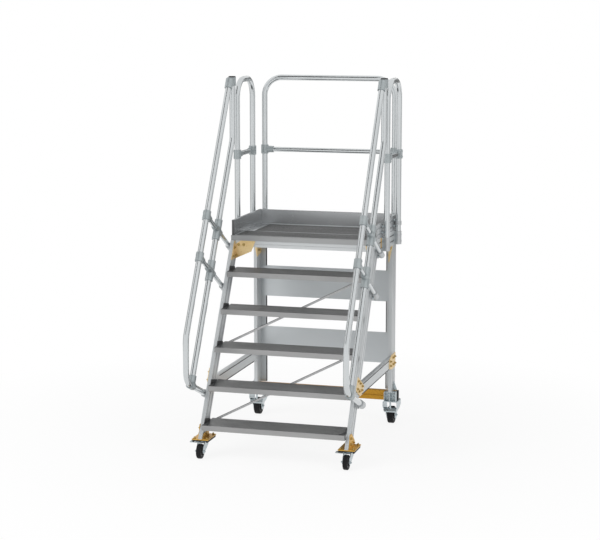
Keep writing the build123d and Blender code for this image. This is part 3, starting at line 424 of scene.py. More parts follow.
nodeFinish = {
    "profileSlope": ["stringer_left", "stringer_right"],
    "profileZ": ["leg_left", "leg_right"],
    "profileY": ["platform_side_left", "platform_side_right", "side_boards"],
    "profileX": ["platform_rear_beam"],
    "frontBeam": ["platform_front_beam"],
    "treadX": ["step_1", "step_2", "step_3", "step_4", "step_5"],
    "deckX": ["deck_plank_front", "deck_plank_rear"],
    "toeX": ["toe_board_back"],
    "toeY": ["toe_boards_side"],
    "sheetX": ["rear_panels"],
    "braceSteel": ["stair_braces"],
    "tubeSlope": ["handrail_left", "handrail_right", "knee_rail_left", "knee_rail_right"],
    "tubeZ": ["side_guardrail_left", "side_guardrail_right", "back_guardrail"],
    "tubeX": ["back_midrail"],
    "tubeY": ["side_midrails", "handrail_arms"],
    "castGrey": ["guardrail_clamps", "handrail_clamps", "handrail_top_joints"],
    "castPale": ["post_sockets", "handrail_feet"],
    "goldZinc": ["front_castor_plates"],
    "goldPale": ["board_plates", "stair_gussets", "leg_gussets"],
    "beamGold": ["rear_crossbeam"],
    "blackPart": ["handrail_caps", "crossbeam_caps", "front_castor_pads"],
    "zincSteel": [
        "leg_foot_brackets", "front_castor_heads", "front_fork_left", "front_fork_right",
        "front_axle_left", "front_axle_right", "rear_castor_forks", "rear_axles",
    ],
    "tyreRubber": ["front_tyre_left", "front_tyre_right", "rear_tyre_left", "rear_tyre_right"],
    "hubGrey": ["front_hub_left", "front_hub_right", "rear_hub_left", "rear_hub_right"],
}
for finish, names in nodeFinish.items():
    for name in names:
        mesh = nodes[name].data
        mesh.materials.clear()
        mesh.materials.append(finishes[finish])
print("finishes on CAD nodes")


# Places shared with the frame, in metres
noseY = -0.60476
noseZ = 0.220
stepRise = 0.240
stepGoing = stepRise / math.sqrt(3)
stepNames = ["step_" + str(index + 1) for index in range(5)]
slopeRun = 0.5  # level run of each metre up the flight
slopeClimb = math.sqrt(0.75)
stringerLean = math.radians(30)  # from upright
innerX = 0.495
outerX = 0.520
castorX = 0.5075
railX = 0.545
tubeRadius = 0.020
midRailRadius = 0.017
castRadius = 0.0267
frontWheelRadius = 0.050
rearWheelRadius = 0.0625
plateThickness = 0.004
plateTop = 0.134
boardMeet = 0.520  # height where the line of the side boards' plates meets the front of the stringers
boardAlong = (boardMeet - noseZ) / slopeClimb
armPlaces = (1.027, 1.330)  # the handrail arms, along the slope
sides = (-1, 1)
sideNames = ((-1, "left"), (1, "right"))
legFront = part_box("leg_left")[0].y
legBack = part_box("leg_left")[1].y
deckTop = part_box("deck_plank_front")[1].z
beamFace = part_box("stair_gussets")[1].y
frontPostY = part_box("side_guardrail_left")[0].y + tubeRadius
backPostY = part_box("side_guardrail_left")[1].y - tubeRadius
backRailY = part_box("back_guardrail")[1].y - tubeRadius
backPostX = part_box("back_guardrail")[1].x - tubeRadius
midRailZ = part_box("back_midrail")[0].z + midRailRadius
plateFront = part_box("front_castor_plates")[0].y
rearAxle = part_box("rear_tyre_left")[0].y + rearWheelRadius
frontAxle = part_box("front_tyre_left")[0].y + frontWheelRadius


def slopePlace(along, behind):
    y = noseY + along * slopeRun + behind * slopeClimb
    z = noseZ + along * slopeClimb - behind * slopeRun
    return y, z


def deselect():
    bpy.ops.object.select_all(action="DESELECT")


def bevelAll(offset, segments):
    bpy.ops.object.mode_set(mode="EDIT")
    bpy.ops.mesh.select_all(action="SELECT")
    bpy.ops.mesh.bevel(offset=offset, segments=segments, affect="EDGES")
    bpy.ops.object.mode_set(mode="OBJECT")


smoothAngle = math.radians(35)


def settle(item, name):
    item.name = name
    bpy.ops.object.transform_apply(location=True, rotation=True, scale=True)
    bpy.ops.object.shade_smooth_by_angle(angle=smoothAngle)
    return item


def joined(items, name):
    deselect()
    for item in items:
        item.select_set(True)
    bpy.context.view_layer.objects.active = items[0]
    bpy.ops.object.join()
    items[0].name = name
    items[0].data.name = name
    return items[0]


def dress(item, finish, body):
    item.data.materials.clear()
    item.data.materials.append(finishes[finish])
    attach(item, body)


# Sharp bar from a low corner to a high corner
def plainBar(low, high):
    deselect()
    middle = [(a + b) / 2 for a, b in zip(low, high)]
    bpy.ops.mesh.primitive_cube_add(size=1.0, location=middle)
    item = bpy.context.object
    item.scale = [b - a for a, b in zip(low, high)]
    bpy.ops.object.transform_apply(location=True, rotation=True, scale=True)
    return item


def easedBar(low, high, offset, name):
    item = plainBar(low, high)
    bevelAll(offset, 2)
    return settle(item, name)


# Moves the corners that pick chooses, in edit mode
def moveCorners(item, pick, step):
    bpy.ops.object.mode_set(mode="EDIT")
    bpy.ops.mesh.select_mode(type="VERT")
    bpy.ops.mesh.select_all(action="DESELECT")
    bpy.ops.object.mode_set(mode="OBJECT")
    for vertex in item.data.vertices:
        vertex.select = pick(vertex.co)
    bpy.ops.object.mode_set(mode="EDIT")
    bpy.ops.transform.translate(value=step)
    bpy.ops.object.mode_set(mode="OBJECT")


# Ends of a span on one side, lower first
def spanX(side, first, second):
    return sorted((side * first, side * second))


# Rod that stands on the Z axis from a height up, with eased edges
def easedRod(vertices, radius, foot, height, edge, segments, name):
    deselect()
    middle = (0, 0, foot + height / 2)
    bpy.ops.mesh.primitive_cylinder_add(vertices=vertices, radius=radius, depth=height, location=middle)
    item = bpy.context.object
    bevelAll(height * edge, segments)
    return settle(item, name)


# Hex bolt that stands on a washer, with its head along +Z; the edges are shares of the heights
boltShape = {
    "washerSides": 32, "washerEdge": 0.2, "headSides": 6, "headEdge": 0.12,
    "stubSides": 20, "stubEdge": 0.15, "stubShare": 0.29,
}


def hexBolt(look):
    foot = look["washerHeight"]
    shape = boltShape
    radius = look["washer"] / 2
    parts = [easedRod(shape["washerSides"], radius, 0, foot, shape["washerEdge"], 1, "washer")]
    radius = look["across"] / math.sqrt(3)
    parts.append(easedRod(shape["headSides"], radius, foot, look["height"], shape["headEdge"], 2, "head"))
    if look["stub"]:
        foot += look["height"]
        radius = look["across"] * shape["stubShare"]
        parts.append(easedRod(shape["stubSides"], radius, foot, look["stub"], shape["stubEdge"], 2, "stub"))
    return joined(parts, "boltPattern")


# Socket screw: a low round head with a recess
screwShape = {"sides": 24, "edge": 0.2, "rim": 0.2, "recess": 0.5}


def socketScrew(look):
    radius = look["across"] / 2
    head = easedRod(screwShape["sides"], radius, 0, look["height"], screwShape["edge"], 2, "head")
    bpy.ops.object.mode_set(mode="EDIT")
    bpy.ops.mesh.select_all(action="DESELECT")
    bpy.ops.object.mode_set(mode="OBJECT")
    top = max(head.data.polygons, key=lambda face: face.center.z)
    top.select = True
    bpy.ops.object.mode_set(mode="EDIT")
    bpy.ops.mesh.select_mode(type="FACE")
    bpy.ops.mesh.inset(thickness=look["across"] * screwShape["rim"])
    down = (0, 0, -look["height"] * screwShape["recess"])
    bpy.ops.mesh.extrude_region_move(TRANSFORM_OT_translate={"value": down})
    bpy.ops.object.mode_set(mode="OBJECT")
    return settle(head, "screwPattern")


def placed(pattern, spots, name):
    items = []
    for point, way in spots:
        mesh = pattern.data.copy()
        turn = Vector(way).to_track_quat("Z", "Y").to_matrix().to_4x4()
        mesh.transform(Matrix.Translation(Vector(point)) @ turn)
        item = bpy.data.objects.new(name, mesh)
        bpy.context.scene.collection.objects.link(item)
        items.append(item)
    return joined(items, name)


bigBoltSize = {"across": 0.013, "height": 0.0075, "washer": 0.020, "washerHeight": 0.0018, "stub": 0.004}
flatBoltSize = {"across": 0.013, "height": 0.006, "washer": 0.018, "washerHeight": 0.0016, "stub": 0.0}
axleNutSize = {"across": 0.010, "height": 0.0036, "washer": 0.0125, "washerHeight": 0.001, "stub": 0.0014}
setScrewSize = {"across": 0.008, "height": 0.0022}
bigBolt = hexBolt(bigBoltSize)
flatBolt = hexBolt(flatBoltSize)
axleNut = hexBolt(axleNutSize)
setScrew = socketScrew(setScrewSize)
frontWay = (0, -1, 0)
backWay = (0, 1, 0)
upWay = (0, 0, 1)

# Gold bolts of the board plates, castor plates, stair gussets and leg gussets
goldBolt = {
    # along the slope and behind it
    "boardFront": (
        (-0.012, 0.034), (0.044, 0.034), (-0.012, 0.086), (0.044, 0.086), (0.046, 0.150), (0.018, 0.150),
    ),
    # y from the front of the leg, and height
    "boardBack": (
        (0.026, 0.445), (0.080, 0.445), (0.026, 0.494), (0.080, 0.494), (-0.052, 0.448), (-0.052, 0.480),
    ),
    # through the castor plate: x from its middle, y from its front
    "castorX": (-0.043, 0.043),
    "castorY": (0.018, 0.156),
    # flanges of the castor plate: y from its front, height over it
    "flangeOutside": ((0.064, 0.064), (0.062, 0.026), (0.126, 0.024)),
    "flangeInside": (0.090, 0.018),
    # y from the first nose, and height
    "gussetFlange": ((0.645, 1.280), (0.676, 1.336)),
    # distance from the middle of the stairs, and height
    "gussetWebLeft": ((0.466, 1.356), (0.429, 1.356), (0.480, 1.280)),
    "gussetWebRight": ((0.472, 1.356),),
    "legFace": (0.505, 1.296),
    # y from the front of the leg, and height
    "legGusset": ((0.030, 1.292), (0.068, 1.292), (0.030, 1.240)),
}


def goldBoltSpots(side):
    found = []
    out = (side, 0, 0)
    inwards = (-side, 0, 0)
    outside = side * (outerX + plateThickness)
    inside = side * (innerX - plateThickness)
    for along, behind in goldBolt["boardFront"]:
        found.append(((outside, *slopePlace(boardAlong + along, behind)), out))
    for y, z in goldBolt["boardBack"]:
        found.append(((outside, legFront + y, z), out))
    for x in goldBolt["castorX"]:
        for y in goldBolt["castorY"]:
            found.append(((side * (castorX + x), plateFront + y, plateTop), upWay))
    for y, z in goldBolt["flangeOutside"]:
        found.append(((outside, plateFront + y, plateTop + z), out))
    y, z = goldBolt["flangeInside"]
    found.append(((inside, plateFront + y, plateTop + z), inwards))
    for y, z in goldBolt["gussetFlange"]:
        found.append(((inside, noseY + y, z), inwards))
    for x, z in goldBolt["gussetWebLeft"] if side < 0 else goldBolt["gussetWebRight"]:
        found.append(((side * x, beamFace - plateThickness, z), frontWay))
    for y, z in goldBolt["legGusset"]:
        found.append(((inside, legFront + y, z), inwards))
    x, z = goldBolt["legFace"]
    found.append(((side * x, legFront - plateThickness, z), frontWay))
    return found


# Zinc bolts of the leg feet, the handrail feet, the toe boards and the post sockets
zincBolt = {
    "footPlate": ((0.5285, 0.256), (0.5265, 0.280)),  # distance from the middle of the stairs, and height
    "channelX": (-0.021, 0.021),
    "channelZ": (0.196, 0.220),
    "channelFace": 0.024,
    "armStep": 0.0255,
    "armBehind": 0.085,
    "armFace": 0.010,
    "besidePost": 0.026,
    "fromDeck": (0.0318, 0.0742, -0.0312, -0.0728),
}


def zincBoltSpots(side):
    found = []
    out = (side, 0, 0)
    for x, z in zincBolt["footPlate"]:
        found.append(((side * x, rearAxle - plateThickness, z), frontWay))
    for x in zincBolt["channelX"]:
        for z in zincBolt["channelZ"]:
            found.append(((side * (castorX + x), rearAxle - zincBolt["channelFace"], z), frontWay))
    for along in armPlaces:
        for step in (-zincBolt["armStep"], zincBolt["armStep"]):
            place = slopePlace(along + step, zincBolt["armBehind"])
            found.append(((side * (outerX + zincBolt["armFace"]), *place), out))
    for postY in (frontPostY, backPostY):
        for z in zincBolt["fromDeck"]:
            found.append(((side * outerX, postY - zincBolt["besidePost"], deckTop + z), out))
    return found


# Set screws of the post sockets and of the clamps on the rails
clampScrew = {
    "socketFace": 0.0242,
    "socketZ": (-0.078, -0.030),
    "clampStep": 0.020,
    "armClamps": ((-0.481, 0.020), (-0.229, 0.055)),  # behind the slope, and reach from the middle
}


def clampScrewSpots(side):
    found = []
    out = (side, 0, 0)
    castFace = side * (railX + castRadius)
    clampSteps = (-clampScrew["clampStep"], clampScrew["clampStep"])
    for y in (frontPostY, backPostY):
        for z in clampScrew["socketZ"]:
            found.append(((side * (railX + clampScrew["socketFace"]), y, deckTop + z), out))
        for step in clampSteps:
            found.append(((castFace, y, midRailZ + step), out))
    for z in clampScrew["socketZ"]:
        found.append(((side * backPostX, backRailY + clampScrew["socketFace"], deckTop + z), backWay))
    for step in clampSteps:
        found.append(((side * backPostX, backRailY + castRadius, midRailZ + step), backWay))
    for along in armPlaces:
        for behind, reach in clampScrew["armClamps"]:
            for step in (-reach, reach):
                found.append(((castFace, *slopePlace(along + step, behind)), out))
    return found


goldSpots = []
zincSpots = []
screwSpots = []
for side in sides:
    goldSpots += goldBoltSpots(side)
    zincSpots += zincBoltSpots(side)
    screwSpots += clampScrewSpots(side)
dress(placed(bigBolt, goldSpots, "goldBolts"), "boltGold", "frame")
dress(placed(flatBolt, zincSpots, "zincBolts"), "zincSteel", "frame")
dress(placed(setScrew, screwSpots, "clampScrews"), "zincSteel", "frame")

# Wheels: nuts on both ends of each axle, and ribs in the recesses of each hub
frontWheel = {"y": frontAxle, "z": frontWheelRadius, "nut": 0.0315, "ribs": (0.0115, 0.0275), "face": 0.0105}
rearWheel = {"y": rearAxle, "z": rearWheelRadius, "nut": 0.039, "ribs": (0.0115, 0.0345), "face": 0.0160}


def axleNutSpots(side, wheel):
    found = []
    for way in sides:
        found.append(((side * castorX + way * wheel["nut"], wheel["y"], wheel["z"]), (way, 0, 0)))
    return found


rearSpots = []
for side, label in sideNames:
    nuts = placed(axleNut, axleNutSpots(side, frontWheel), "frontAxleNuts." + label)
    dress(nuts, "zincSteel", "front_fork_" + label)
    rearSpots += axleNutSpots(side, rearWheel)
dress(placed(axleNut, rearSpots, "rearAxleNuts"), "zincSteel", "frame")
for pattern in (bigBolt, flatBolt, axleNut, setScrew):
    bpy.data.objects.remove(pattern)
print("bolts and screws placed")

# Ribs of one hub, on both sides
hubRib = {"count": 6, "depth": 0.003, "half": 0.0014, "edge": 0.0005}


def hubRibs(side, wheel, name):
    centre = Matrix.Translation((side * castorX, wheel["y"], wheel["z"]))
    inner, outer = wheel["ribs"]
    items = []
    for index in range(hubRib["count"]):
        turn = Matrix.Rotation(math.radians(360 / hubRib["count"] * index), 4, "X")
        for way in sides:
            low = (way * wheel["face"] - hubRib["depth"], -hubRib["half"], inner)
            high = (way * wheel["face"] + hubRib["depth"], hubRib["half"], outer)
            rib = easedBar(low, high, hubRib["edge"], name)
            rib.data.transform(centre @ turn)
            items.append(rib)
    return joined(items, name)


for end, wheel in (("front", frontWheel), ("rear", rearWheel)):
    for side, label in sideNames:
        ribs = hubRibs(side, wheel, end + "HubRibs." + label)
        dress(ribs, "hubGrey", end + "_wheel_" + label)
print("hub ribs placed")

# Dark caps on the ends of the steps, ahead of the stringers; their dark also paints the shade in the gaps at
# the step ends
stepCapShade = {"thickness": 0.0016, "reach": 0.026, "inset": 0.001, "below": 0.002, "edge": 0.0005}
capsAndShade = []
for name in stepNames:
    low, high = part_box(name)
    for side in sides:
        near, far = spanX(side, innerX, innerX + stepCapShade["thickness"])
        start = (near, low.y + stepCapShade["inset"], low.z + stepCapShade["inset"])
        end = (far, low.y + stepCapShade["reach"], high.z - stepCapShade["below"])
        capsAndShade.append(easedBar(start, end, stepCapShade["edge"], "cap"))
dress(joined(capsAndShade, "stepEndCapsAndShade"), "capDarkAndShade", "frame")

# Dark brackets on the step ends: a sloped cheek on the stringer, partly a bracket and partly painted shade
# on the stringer's inner face, and a tapered foot on the tread that paints the bracket's reflection in it
stepShadeBracket = {
    "cheek": 0.005, "front": 0.004, "back": 0.130, "height": 0.034, "backHeight": 0.012,
    "foot": 0.042, "footEnd": 0.012, "footLength": 0.130, "footHeight": 0.0025,
    "sink": 0.0005, "edge": 0.0007,
}


# Cheek: painted shade on the stringer's inner face, tall at the front and low at the back
def shadeCheekBar(side, front, top):
    look = stepShadeBracket
    near, far = spanX(side, innerX - look["cheek"], innerX)
    low = (near, front + look["front"], top - look["sink"])
    item = plainBar(low, (far, front + look["back"], top + look["height"]))
    middle = front + (look["front"] + look["back"]) / 2
    lean = look["height"] * math.tan(stringerLean)
    moveCorners(item, lambda point: point.z > top + look["sink"] and point.y < middle, (0, lean, 0))
    moveCorners(item, lambda point: point.z > top + look["sink"] and point.y > middle,
                (0, 0, look["backHeight"] - look["height"]))
    bevelAll(look["edge"], 2)
    return settle(item, "cheek")


# Foot: painted reflection of the dark bracket in the tread
def reflectionFootBar(side, treadFront, top):
    look = stepShadeBracket
    near, far = spanX(side, innerX - look["foot"], innerX)
    low = (near, treadFront + look["front"], top - look["sink"])
    item = plainBar(low, (far, treadFront + look["footLength"], top + look["footHeight"]))
    middle = treadFront + look["footLength"] / 2
    inside = innerX - look["foot"] / 2
    moveCorners(item, lambda point: point.y > middle and abs(point.x) < inside,
                (side * (look["foot"] - look["footEnd"]), 0, 0))
    bevelAll(look["edge"], 2)
    return settle(item, "foot")


shadeBrackets = []
for name in stepNames:
    treadLow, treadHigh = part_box(name)
    stringerFront = noseY + (treadHigh.z - noseZ) / math.sqrt(3)
    for side in sides:
        shadeBrackets.append(shadeCheekBar(side, stringerFront, treadHigh.z))
        shadeBrackets.append(reflectionFootBar(side, treadLow.y, treadHigh.z))
dress(joined(shadeBrackets, "stepBracketShade"), "capDarkAndShade", "frame")

# Dark bands along the front faces of the stair braces: painted shade that draws the edges of a profiled
# brace
braceShade = {
    "inset": 0.010, "back": 0.193, "under": 0.0085, "away": 0.02172, "half": 0.008, "face": 0.004,
    "proud": 0.0005, "bands": ((-0.0077, -0.0044), (0.0012, 0.0026)), "edge": 0.0002,
}
shadeBands = []
for lower, upper in ((0, 2), (2, 4)):
    ends = []
    for index, side in ((lower, -1), (upper, 1)):
        x = side * (innerX - braceShade["inset"])
        y = noseY + index * stepGoing + braceShade["back"] + braceShade["away"]
        z = noseZ + index * stepRise - braceShade["under"]
        ends.append(Vector((x, y, z)))
    run = (ends[1] - ends[0]).normalized()
    across = Vector((0, 1, 0)).cross(run).normalized()
    turn = Matrix((run, across, run.cross(across))).transposed().to_4x4()
    length = (ends[1] - ends[0]).length
    for top, bottom in braceShade["bands"]:
        low = (-braceShade["half"], top, -braceShade["face"] - braceShade["proud"])
        high = (length + braceShade["half"], bottom, -braceShade["face"] + braceShade["proud"])
        shadeBand = easedBar(low, high, braceShade["edge"], "shadeBand")
        shadeBand.data.transform(Matrix.Translation(ends[0]) @ turn)
        shadeBands.append(shadeBand)
dress(joined(shadeBands, "braceShadeBands"), "paintedShadeGrey", "frame")

# Black strips along the upper groove and the lower edge of the side boards
boardDarkLine = {
    "half": 0.0012, "height": 0.006, "groove": 0.018, "lift": 0.001,
    "front": 0.200, "back": 0.088, "edge": 0.0004,
}
boardDarkLines = []
boardLow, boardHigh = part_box("side_boards")
boardFront = slopePlace(boardAlong, boardDarkLine["front"])[0]
boardBack = legFront - boardDarkLine["back"]
for side in sides:
    for middle in (innerX, outerX):
        near, far = spanX(side, middle - boardDarkLine["half"], middle + boardDarkLine["half"])
        for z in (boardHigh.z - boardDarkLine["groove"], boardLow.z + boardDarkLine["lift"]):
            high = (far, boardBack, z + boardDarkLine["height"])
            boardDarkLines.append(easedBar((near, boardFront, z), high, boardDarkLine["edge"], "darkLine"))
dress(joined(boardDarkLines, "boardDarkStrips"), "blackPart", "frame")

# Dark strips at the bottom of the slots in stringers, legs and side beams: painted shade that makes the
# slots read dark
slotShade = {
    "floor": 0.005, "thickness": 0.002, "half": 0.0042, "edge": 0.0004,
    "stringer": (-0.05, 1.32), "behind": (0.035, 0.085), "leg": (0.246, 1.312),
    "shares": (0.3, 0.7), "beamFront": 0.21, "beamPast": 0.035,
}
slotShades = []
half = slotShade["half"]
slopeTurn = Matrix.Translation((0, noseY, noseZ)) @ Matrix.Rotation(-stringerLean, 4, "X")
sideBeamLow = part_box("platform_side_left")[0].z
innerFloor = innerX + slotShade["floor"]
outerFloor = outerX - slotShade["floor"]
for side in sides:
    outside = spanX(side, outerFloor, outerFloor + slotShade["thickness"])
    for near, far in (spanX(side, innerFloor - slotShade["thickness"], innerFloor), outside):
        for behind in slotShade["behind"]:
            low = (near, behind - half, slotShade["stringer"][0])
            slotShadeStrip = easedBar(low, (far, behind + half, slotShade["stringer"][1]), slotShade["edge"], "slotShadeStrip")
            slotShadeStrip.data.transform(slopeTurn)
            slotShades.append(slotShadeStrip)
    near, far = outside
    for share in slotShade["shares"]:
        y = legFront + share * (legBack - legFront)
        low = (near, y - half, slotShade["leg"][0])
        slotShades.append(easedBar(low, (far, y + half, slotShade["leg"][1]), slotShade["edge"], "slotShadeStrip"))
        z = sideBeamLow + share * (deckTop - sideBeamLow)
        high = (far, legBack + slotShade["beamPast"], z + half)
        slotShades.append(easedBar((near, slotShade["beamFront"], z - half), high, slotShade["edge"], "slotShadeStrip"))
dress(joined(slotShades, "slotShadeStrips"), "paintedShadeGrey", "frame")

# Black edge strips along the leg flanges
legStrip = {
    "flange": 0.038, "width": 0.006, "front": 0.011, "back": 0.001,
    "foot": 0.244, "top": 1.314, "edge": 0.0012,
}
strips = []
for side in sides:
    flangeEnd = innerX - legStrip["flange"]
    near, far = spanX(side, flangeEnd, flangeEnd - legStrip["width"])
    low = (near, legBack - legStrip["front"], legStrip["foot"])
    high = (far, legBack - legStrip["back"], legStrip["top"])
    strips.append(easedBar(low, high, legStrip["edge"], "strip"))
dress(joined(strips, "legEdgeStrips"), "blackPart", "frame")

# Bright strips on the deck: at the foot of the back toe board and over the joint between the planks
deckTrim = {
    "half": 0.004, "toeHeight": 0.005, "jointHeight": 0.0012, "sink": 0.0005, "gap": 0.001, "edge": 0.0005,
}
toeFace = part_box("toe_board_back")[0].y
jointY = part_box("deck_plank_front")[1].y + deckTrim["gap"]
trimReach = innerX - deckTrim["gap"]
half = deckTrim["half"]
trims = []
for y, height in ((toeFace - half, deckTrim["toeHeight"]), (jointY, deckTrim["jointHeight"])):
    low = (-trimReach, y - half, deckTop - deckTrim["sink"])
    trims.append(easedBar(low, (trimReach, y + half, deckTop + height), deckTrim["edge"], "trim"))
dress(joined(trims, "deckTrims"), "profileX", "frame")

# Smooth edge plates on the deck, between the side toe boards and the ribs of the rear plank
edgePlate = {"width": 0.062, "front": 0.005, "back": 0.009, "height": 0.0012, "sink": 0.0005, "edge": 0.0005}
edgePlates = []
for side in sides:
    near, far = spanX(side, trimReach, trimReach - edgePlate["width"])
    low = (near, jointY + edgePlate["front"], deckTop - edgePlate["sink"])
    high = (far, toeFace - edgePlate["back"], deckTop + edgePlate["height"])
    edgePlates.append(easedBar(low, high, edgePlate["edge"], "edgePlate"))
dress(joined(edgePlates, "deckEdgePlates"), "toeY", "frame")

# Dark caps on the front ends of the side toe boards: painted shade, as dark as the boards' shaded inner
# faces
toeShadeCap = {"board": 0.020, "thickness": 0.0016, "sink": 0.0002, "inset": 0.0005, "edge": 0.0005}
toeShadeCaps = []
toeLow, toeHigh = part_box("toe_boards_side")
for side in sides:
    near, far = spanX(side, outerX - toeShadeCap["board"] + toeShadeCap["inset"], outerX - toeShadeCap["inset"])
    low = (near, toeLow.y - toeShadeCap["thickness"], toeLow.z + toeShadeCap["inset"])
    high = (far, toeLow.y + toeShadeCap["sink"], toeHigh.z - toeShadeCap["inset"])
    toeShadeCaps.append(easedBar(low, high, toeShadeCap["edge"], "toeShadeCap"))
dress(joined(toeShadeCaps, "toeEndShade"), "paintedShadeGrey", "frame")

# Gold shims beside the front post sockets
socketShim = {
    "thickness": 0.004, "ahead": 0.072, "width": 0.010, "below": 0.072, "above": 0.002, "edge": 0.0008,
}
shims = []
for side in sides:
    near, far = spanX(side, outerX, outerX + socketShim["thickness"])
    start = frontPostY - socketShim["ahead"]
    high = (far, start + socketShim["width"], deckTop - socketShim["above"])
    shims.append(easedBar((near, start, deckTop - socketShim["below"]), high, socketShim["edge"], "shim"))
dress(joined(shims, "socketShims"), "goldZinc", "frame")

# Black rails under the side edges of the front castor pads
padRail = {"half": 0.0545, "width": 0.0105, "depth": 0.0075, "sink": 0.0003, "inset": 0.0005, "edge": 0.0012}
rails = []
padLow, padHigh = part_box("front_castor_pads")
for side in sides:
    for way in sides:
        edge = side * castorX + way * padRail["half"]
        near, far = sorted((edge, edge - way * padRail["width"]))
        low = (near, padLow.y + padRail["inset"], padLow.z - padRail["depth"])
        high = (far, padHigh.y - padRail["inset"], padLow.z + padRail["sink"])
        rails.append(easedBar(low, high, padRail["edge"], "rail"))
dress(joined(rails, "castorPadRails"), "blackPart", "frame")

# Ribbed pads on the brake levers of the front castors
leverPad = {
    "rest": 0.1047, "front": 0.010, "length": 0.026, "margin": 0.001, "width": 0.034, "height": 0.0025,
    "sink": 0.0002, "edge": 0.0009, "ribs": 4, "ribStart": 0.003, "ribPitch": 0.006, "ribWidth": 0.003,
    "ribMargin": 0.003, "ribFoot": 0.002, "ribHeight": 0.0042, "ribEdge": 0.0006,
}
for label in ("left", "right"):
    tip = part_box("front_fork_" + label)[0].x
    rest = leverPad["rest"]
    front = noseY - leverPad["front"]
    back = front + leverPad["width"]
    low = (tip, front + leverPad["margin"], rest - leverPad["sink"])
    high = (tip + leverPad["length"], back - leverPad["margin"], rest + leverPad["height"])
    pads = [easedBar(low, high, leverPad["edge"], "pad")]
    for index in range(leverPad["ribs"]):
        start = tip + leverPad["ribStart"] + leverPad["ribPitch"] * index
        low = (start, front + leverPad["ribMargin"], rest + leverPad["ribFoot"])
        high = (start + leverPad["ribWidth"], back - leverPad["ribMargin"], rest + leverPad["ribHeight"])
        pads.append(easedBar(low, high, leverPad["ribEdge"], "rib"))
    dress(joined(pads, "leverPad." + label), "zincSteel", "front_fork_" + label)
print("trim pieces placed")


# Floor, world, flags, lamps and camera
stageSet = {
    "middle": (0, 0, 1.2), "world": 0.50, "floorSize": 60.0, "floorDrop": 0.0005, "floorWhite": 0.92,
    "glowNear": 1.0, "glowFar": 3.2, "glowShare": 0.88,
}


# Rays that show the plain white: from the camera, from gloss and through glass
def seenRays(tree):
    path = addNode(tree, "ShaderNodeLightPath")
    first = combine(tree, "MAXIMUM", path.outputs["Is Camera Ray"], path.outputs["Is Glossy Ray"])
    return combine(tree, "MAXIMUM", first, path.outputs["Is Transmission Ray"])


def bareMaterial(name):
    material = bpy.data.materials.new(name)
    material.use_nodes = True
    material.node_tree.nodes.clear()
    return material, material.node_tree


# Mix of two shaders, the second on the given share, into an output
def mixShaders(tree, share, first, second, leave):
    mix = addNode(tree, "ShaderNodeMixShader")
    tree.links.new(share, mix.inputs["Fac"])
    tree.links.new(first.outputs[0], mix.inputs[1])
    tree.links.new(second.outputs[0], mix.inputs[2])
    tree.links.new(mix.outputs[0], leave.inputs["Surface"])


# White floor that glows for seen rays, fully far away and less near the stairs, where it keeps their shadow
def makeFloor():
    deselect()
    low = cadLow.z - stageSet["floorDrop"]
    bpy.ops.mesh.primitive_plane_add(size=stageSet["floorSize"], location=(0, 0, low))
    floor = bpy.context.object
    floor.name = "floor"
    material, tree = bareMaterial("floorWhite")
    white = stageSet["floorWhite"]
    diffuse = addNode(tree, "ShaderNodeBsdfDiffuse")
    diffuse.inputs["Color"].default_value = (white, white, white, 1)
    glow = addNode(tree, "ShaderNodeEmission")
    place = addNode(tree, "ShaderNodeTexCoord")
    away = addNode(tree, "ShaderNodeVectorMath", operation="LENGTH")
    tree.links.new(place.outputs["Object"], away.inputs[0])
    reach = (stageSet["glowNear"], stageSet["glowFar"])
    share = spread(tree, away.outputs["Value"], *reach, stageSet["glowShare"], 1.0)
    leave = addNode(tree, "ShaderNodeOutputMaterial")
    mixShaders(tree, combine(tree, "MULTIPLY", seenRays(tree), share), diffuse, glow, leave)
    floor.data.materials.append(material)


def makeWorld():
    world = bpy.data.worlds.new("studio")
    bpy.context.scene.world = world
    world.use_nodes = True
    tree = world.node_tree
    tree.nodes.clear()
    soft = addNode(tree, "ShaderNodeBackground")
    soft.inputs["Color"].default_value = (1, 1, 1, 1)
    soft.inputs["Strength"].default_value = stageSet["world"]
    plain = addNode(tree, "ShaderNodeBackground")
    plain.inputs["Color"].default_value = (1, 1, 1, 1)
    mixShaders(tree, seenRays(tree), soft, plain, addNode(tree, "ShaderNodeOutputWorld"))


# Grey studio flags that shade the reflections, seen by nothing else; way is their direction from the stairs
flags = {
    "flagFront": {"way": (-0.32, -0.59, 0.74), "distance": 10.0, "width": 4.2, "height": 8.0, "level": 0.02},
    "flagLeft": {"way": (-0.98, 0.15, 0.10), "distance": 4.0, "width": 3.0, "height": 3.4, "level": 0.50},
    "flagRight": {"way": (0.93, 0.36, 0.08), "distance": 4.2, "width": 2.4, "height": 3.4, "level": 0.50},
    "flagBack": {"way": (0.0, 0.995, 0.10), "distance": 5.4, "width": 4.4, "height": 3.4, "level": 0.15},
}


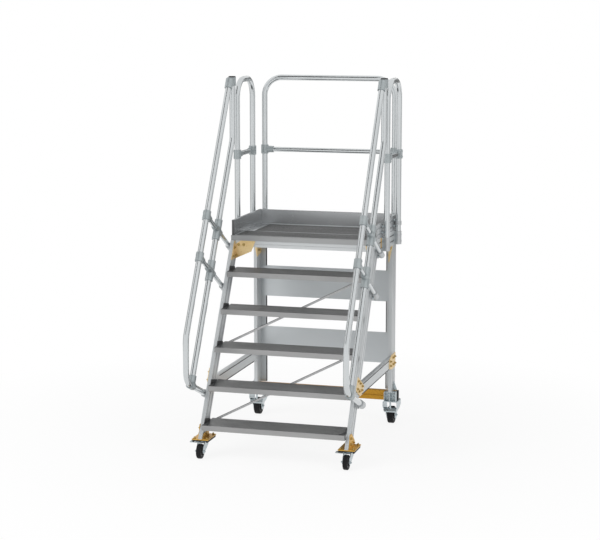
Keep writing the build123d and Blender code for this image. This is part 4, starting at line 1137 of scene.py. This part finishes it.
def makeFlag(name, look):
    material, tree = bareMaterial(name)
    glow = addNode(tree, "ShaderNodeEmission")
    glow.inputs["Strength"].default_value = look["level"]
    leave = addNode(tree, "ShaderNodeOutputMaterial")
    tree.links.new(glow.outputs[0], leave.inputs["Surface"])
    deselect()
    bpy.ops.mesh.primitive_plane_add(size=1.0)
    flag = bpy.context.object
    flag.name = name
    way = Vector(look["way"])
    flag.location = Vector(stageSet["middle"]) + way.normalized() * look["distance"]
    flag.rotation_mode = "QUATERNION"
    flag.rotation_quaternion = way.to_track_quat("Z", "Y")
    flag.scale = (look["width"], look["height"], 1)
    flag.data.materials.append(material)
    flag.visible_camera = False
    flag.visible_diffuse = False
    flag.visible_shadow = False


lamps = {
    "keyLamp": {"place": (-3.5, -4.5, 5.0), "size": 4.0, "power": 215.0},
    "fillLamp": {"place": (5.0, -2.5, 3.5), "size": 3.0, "power": 60.0},
}


def makeLamp(name, look):
    data = bpy.data.lights.new(name, "AREA")
    data.size = look["size"]
    data.energy = look["power"]
    lamp = bpy.data.objects.new(name, data)
    bpy.context.scene.collection.objects.link(lamp)
    lamp.location = look["place"]
    lamp.rotation_mode = "QUATERNION"
    way = Vector(stageSet["middle"]) - Vector(look["place"])
    lamp.rotation_quaternion = way.to_track_quat("-Z", "Y")
    lamp.visible_glossy = False


cameraSet = {
    "place": (3.24336, -11.25322, 3.07921), "azimuth": 16.04, "elevation": 9.07,
    "lens": 103.234, "sensor": 36.0, "clipEnd": 200,
}


def makeCamera():
    data = bpy.data.cameras.new("camera")
    data.sensor_width = cameraSet["sensor"]
    data.sensor_fit = "HORIZONTAL"
    data.lens = cameraSet["lens"]
    data.clip_end = cameraSet["clipEnd"]
    camera = bpy.data.objects.new("camera", data)
    bpy.context.scene.collection.objects.link(camera)
    camera.location = cameraSet["place"]
    around = math.radians(cameraSet["azimuth"])
    above = math.radians(cameraSet["elevation"])
    level = math.cos(above)
    look = Vector((-math.sin(around) * level, math.cos(around) * level, -math.sin(above)))
    camera.rotation_mode = "QUATERNION"
    camera.rotation_quaternion = look.to_track_quat("-Z", "Y")
    bpy.context.scene.camera = camera


makeFloor()
makeWorld()
for name, look in flags.items():
    makeFlag(name, look)
for name, look in lamps.items():
    makeLamp(name, look)
makeCamera()
bpy.context.scene.view_settings.view_transform = "Standard"
print("stage and camera set")
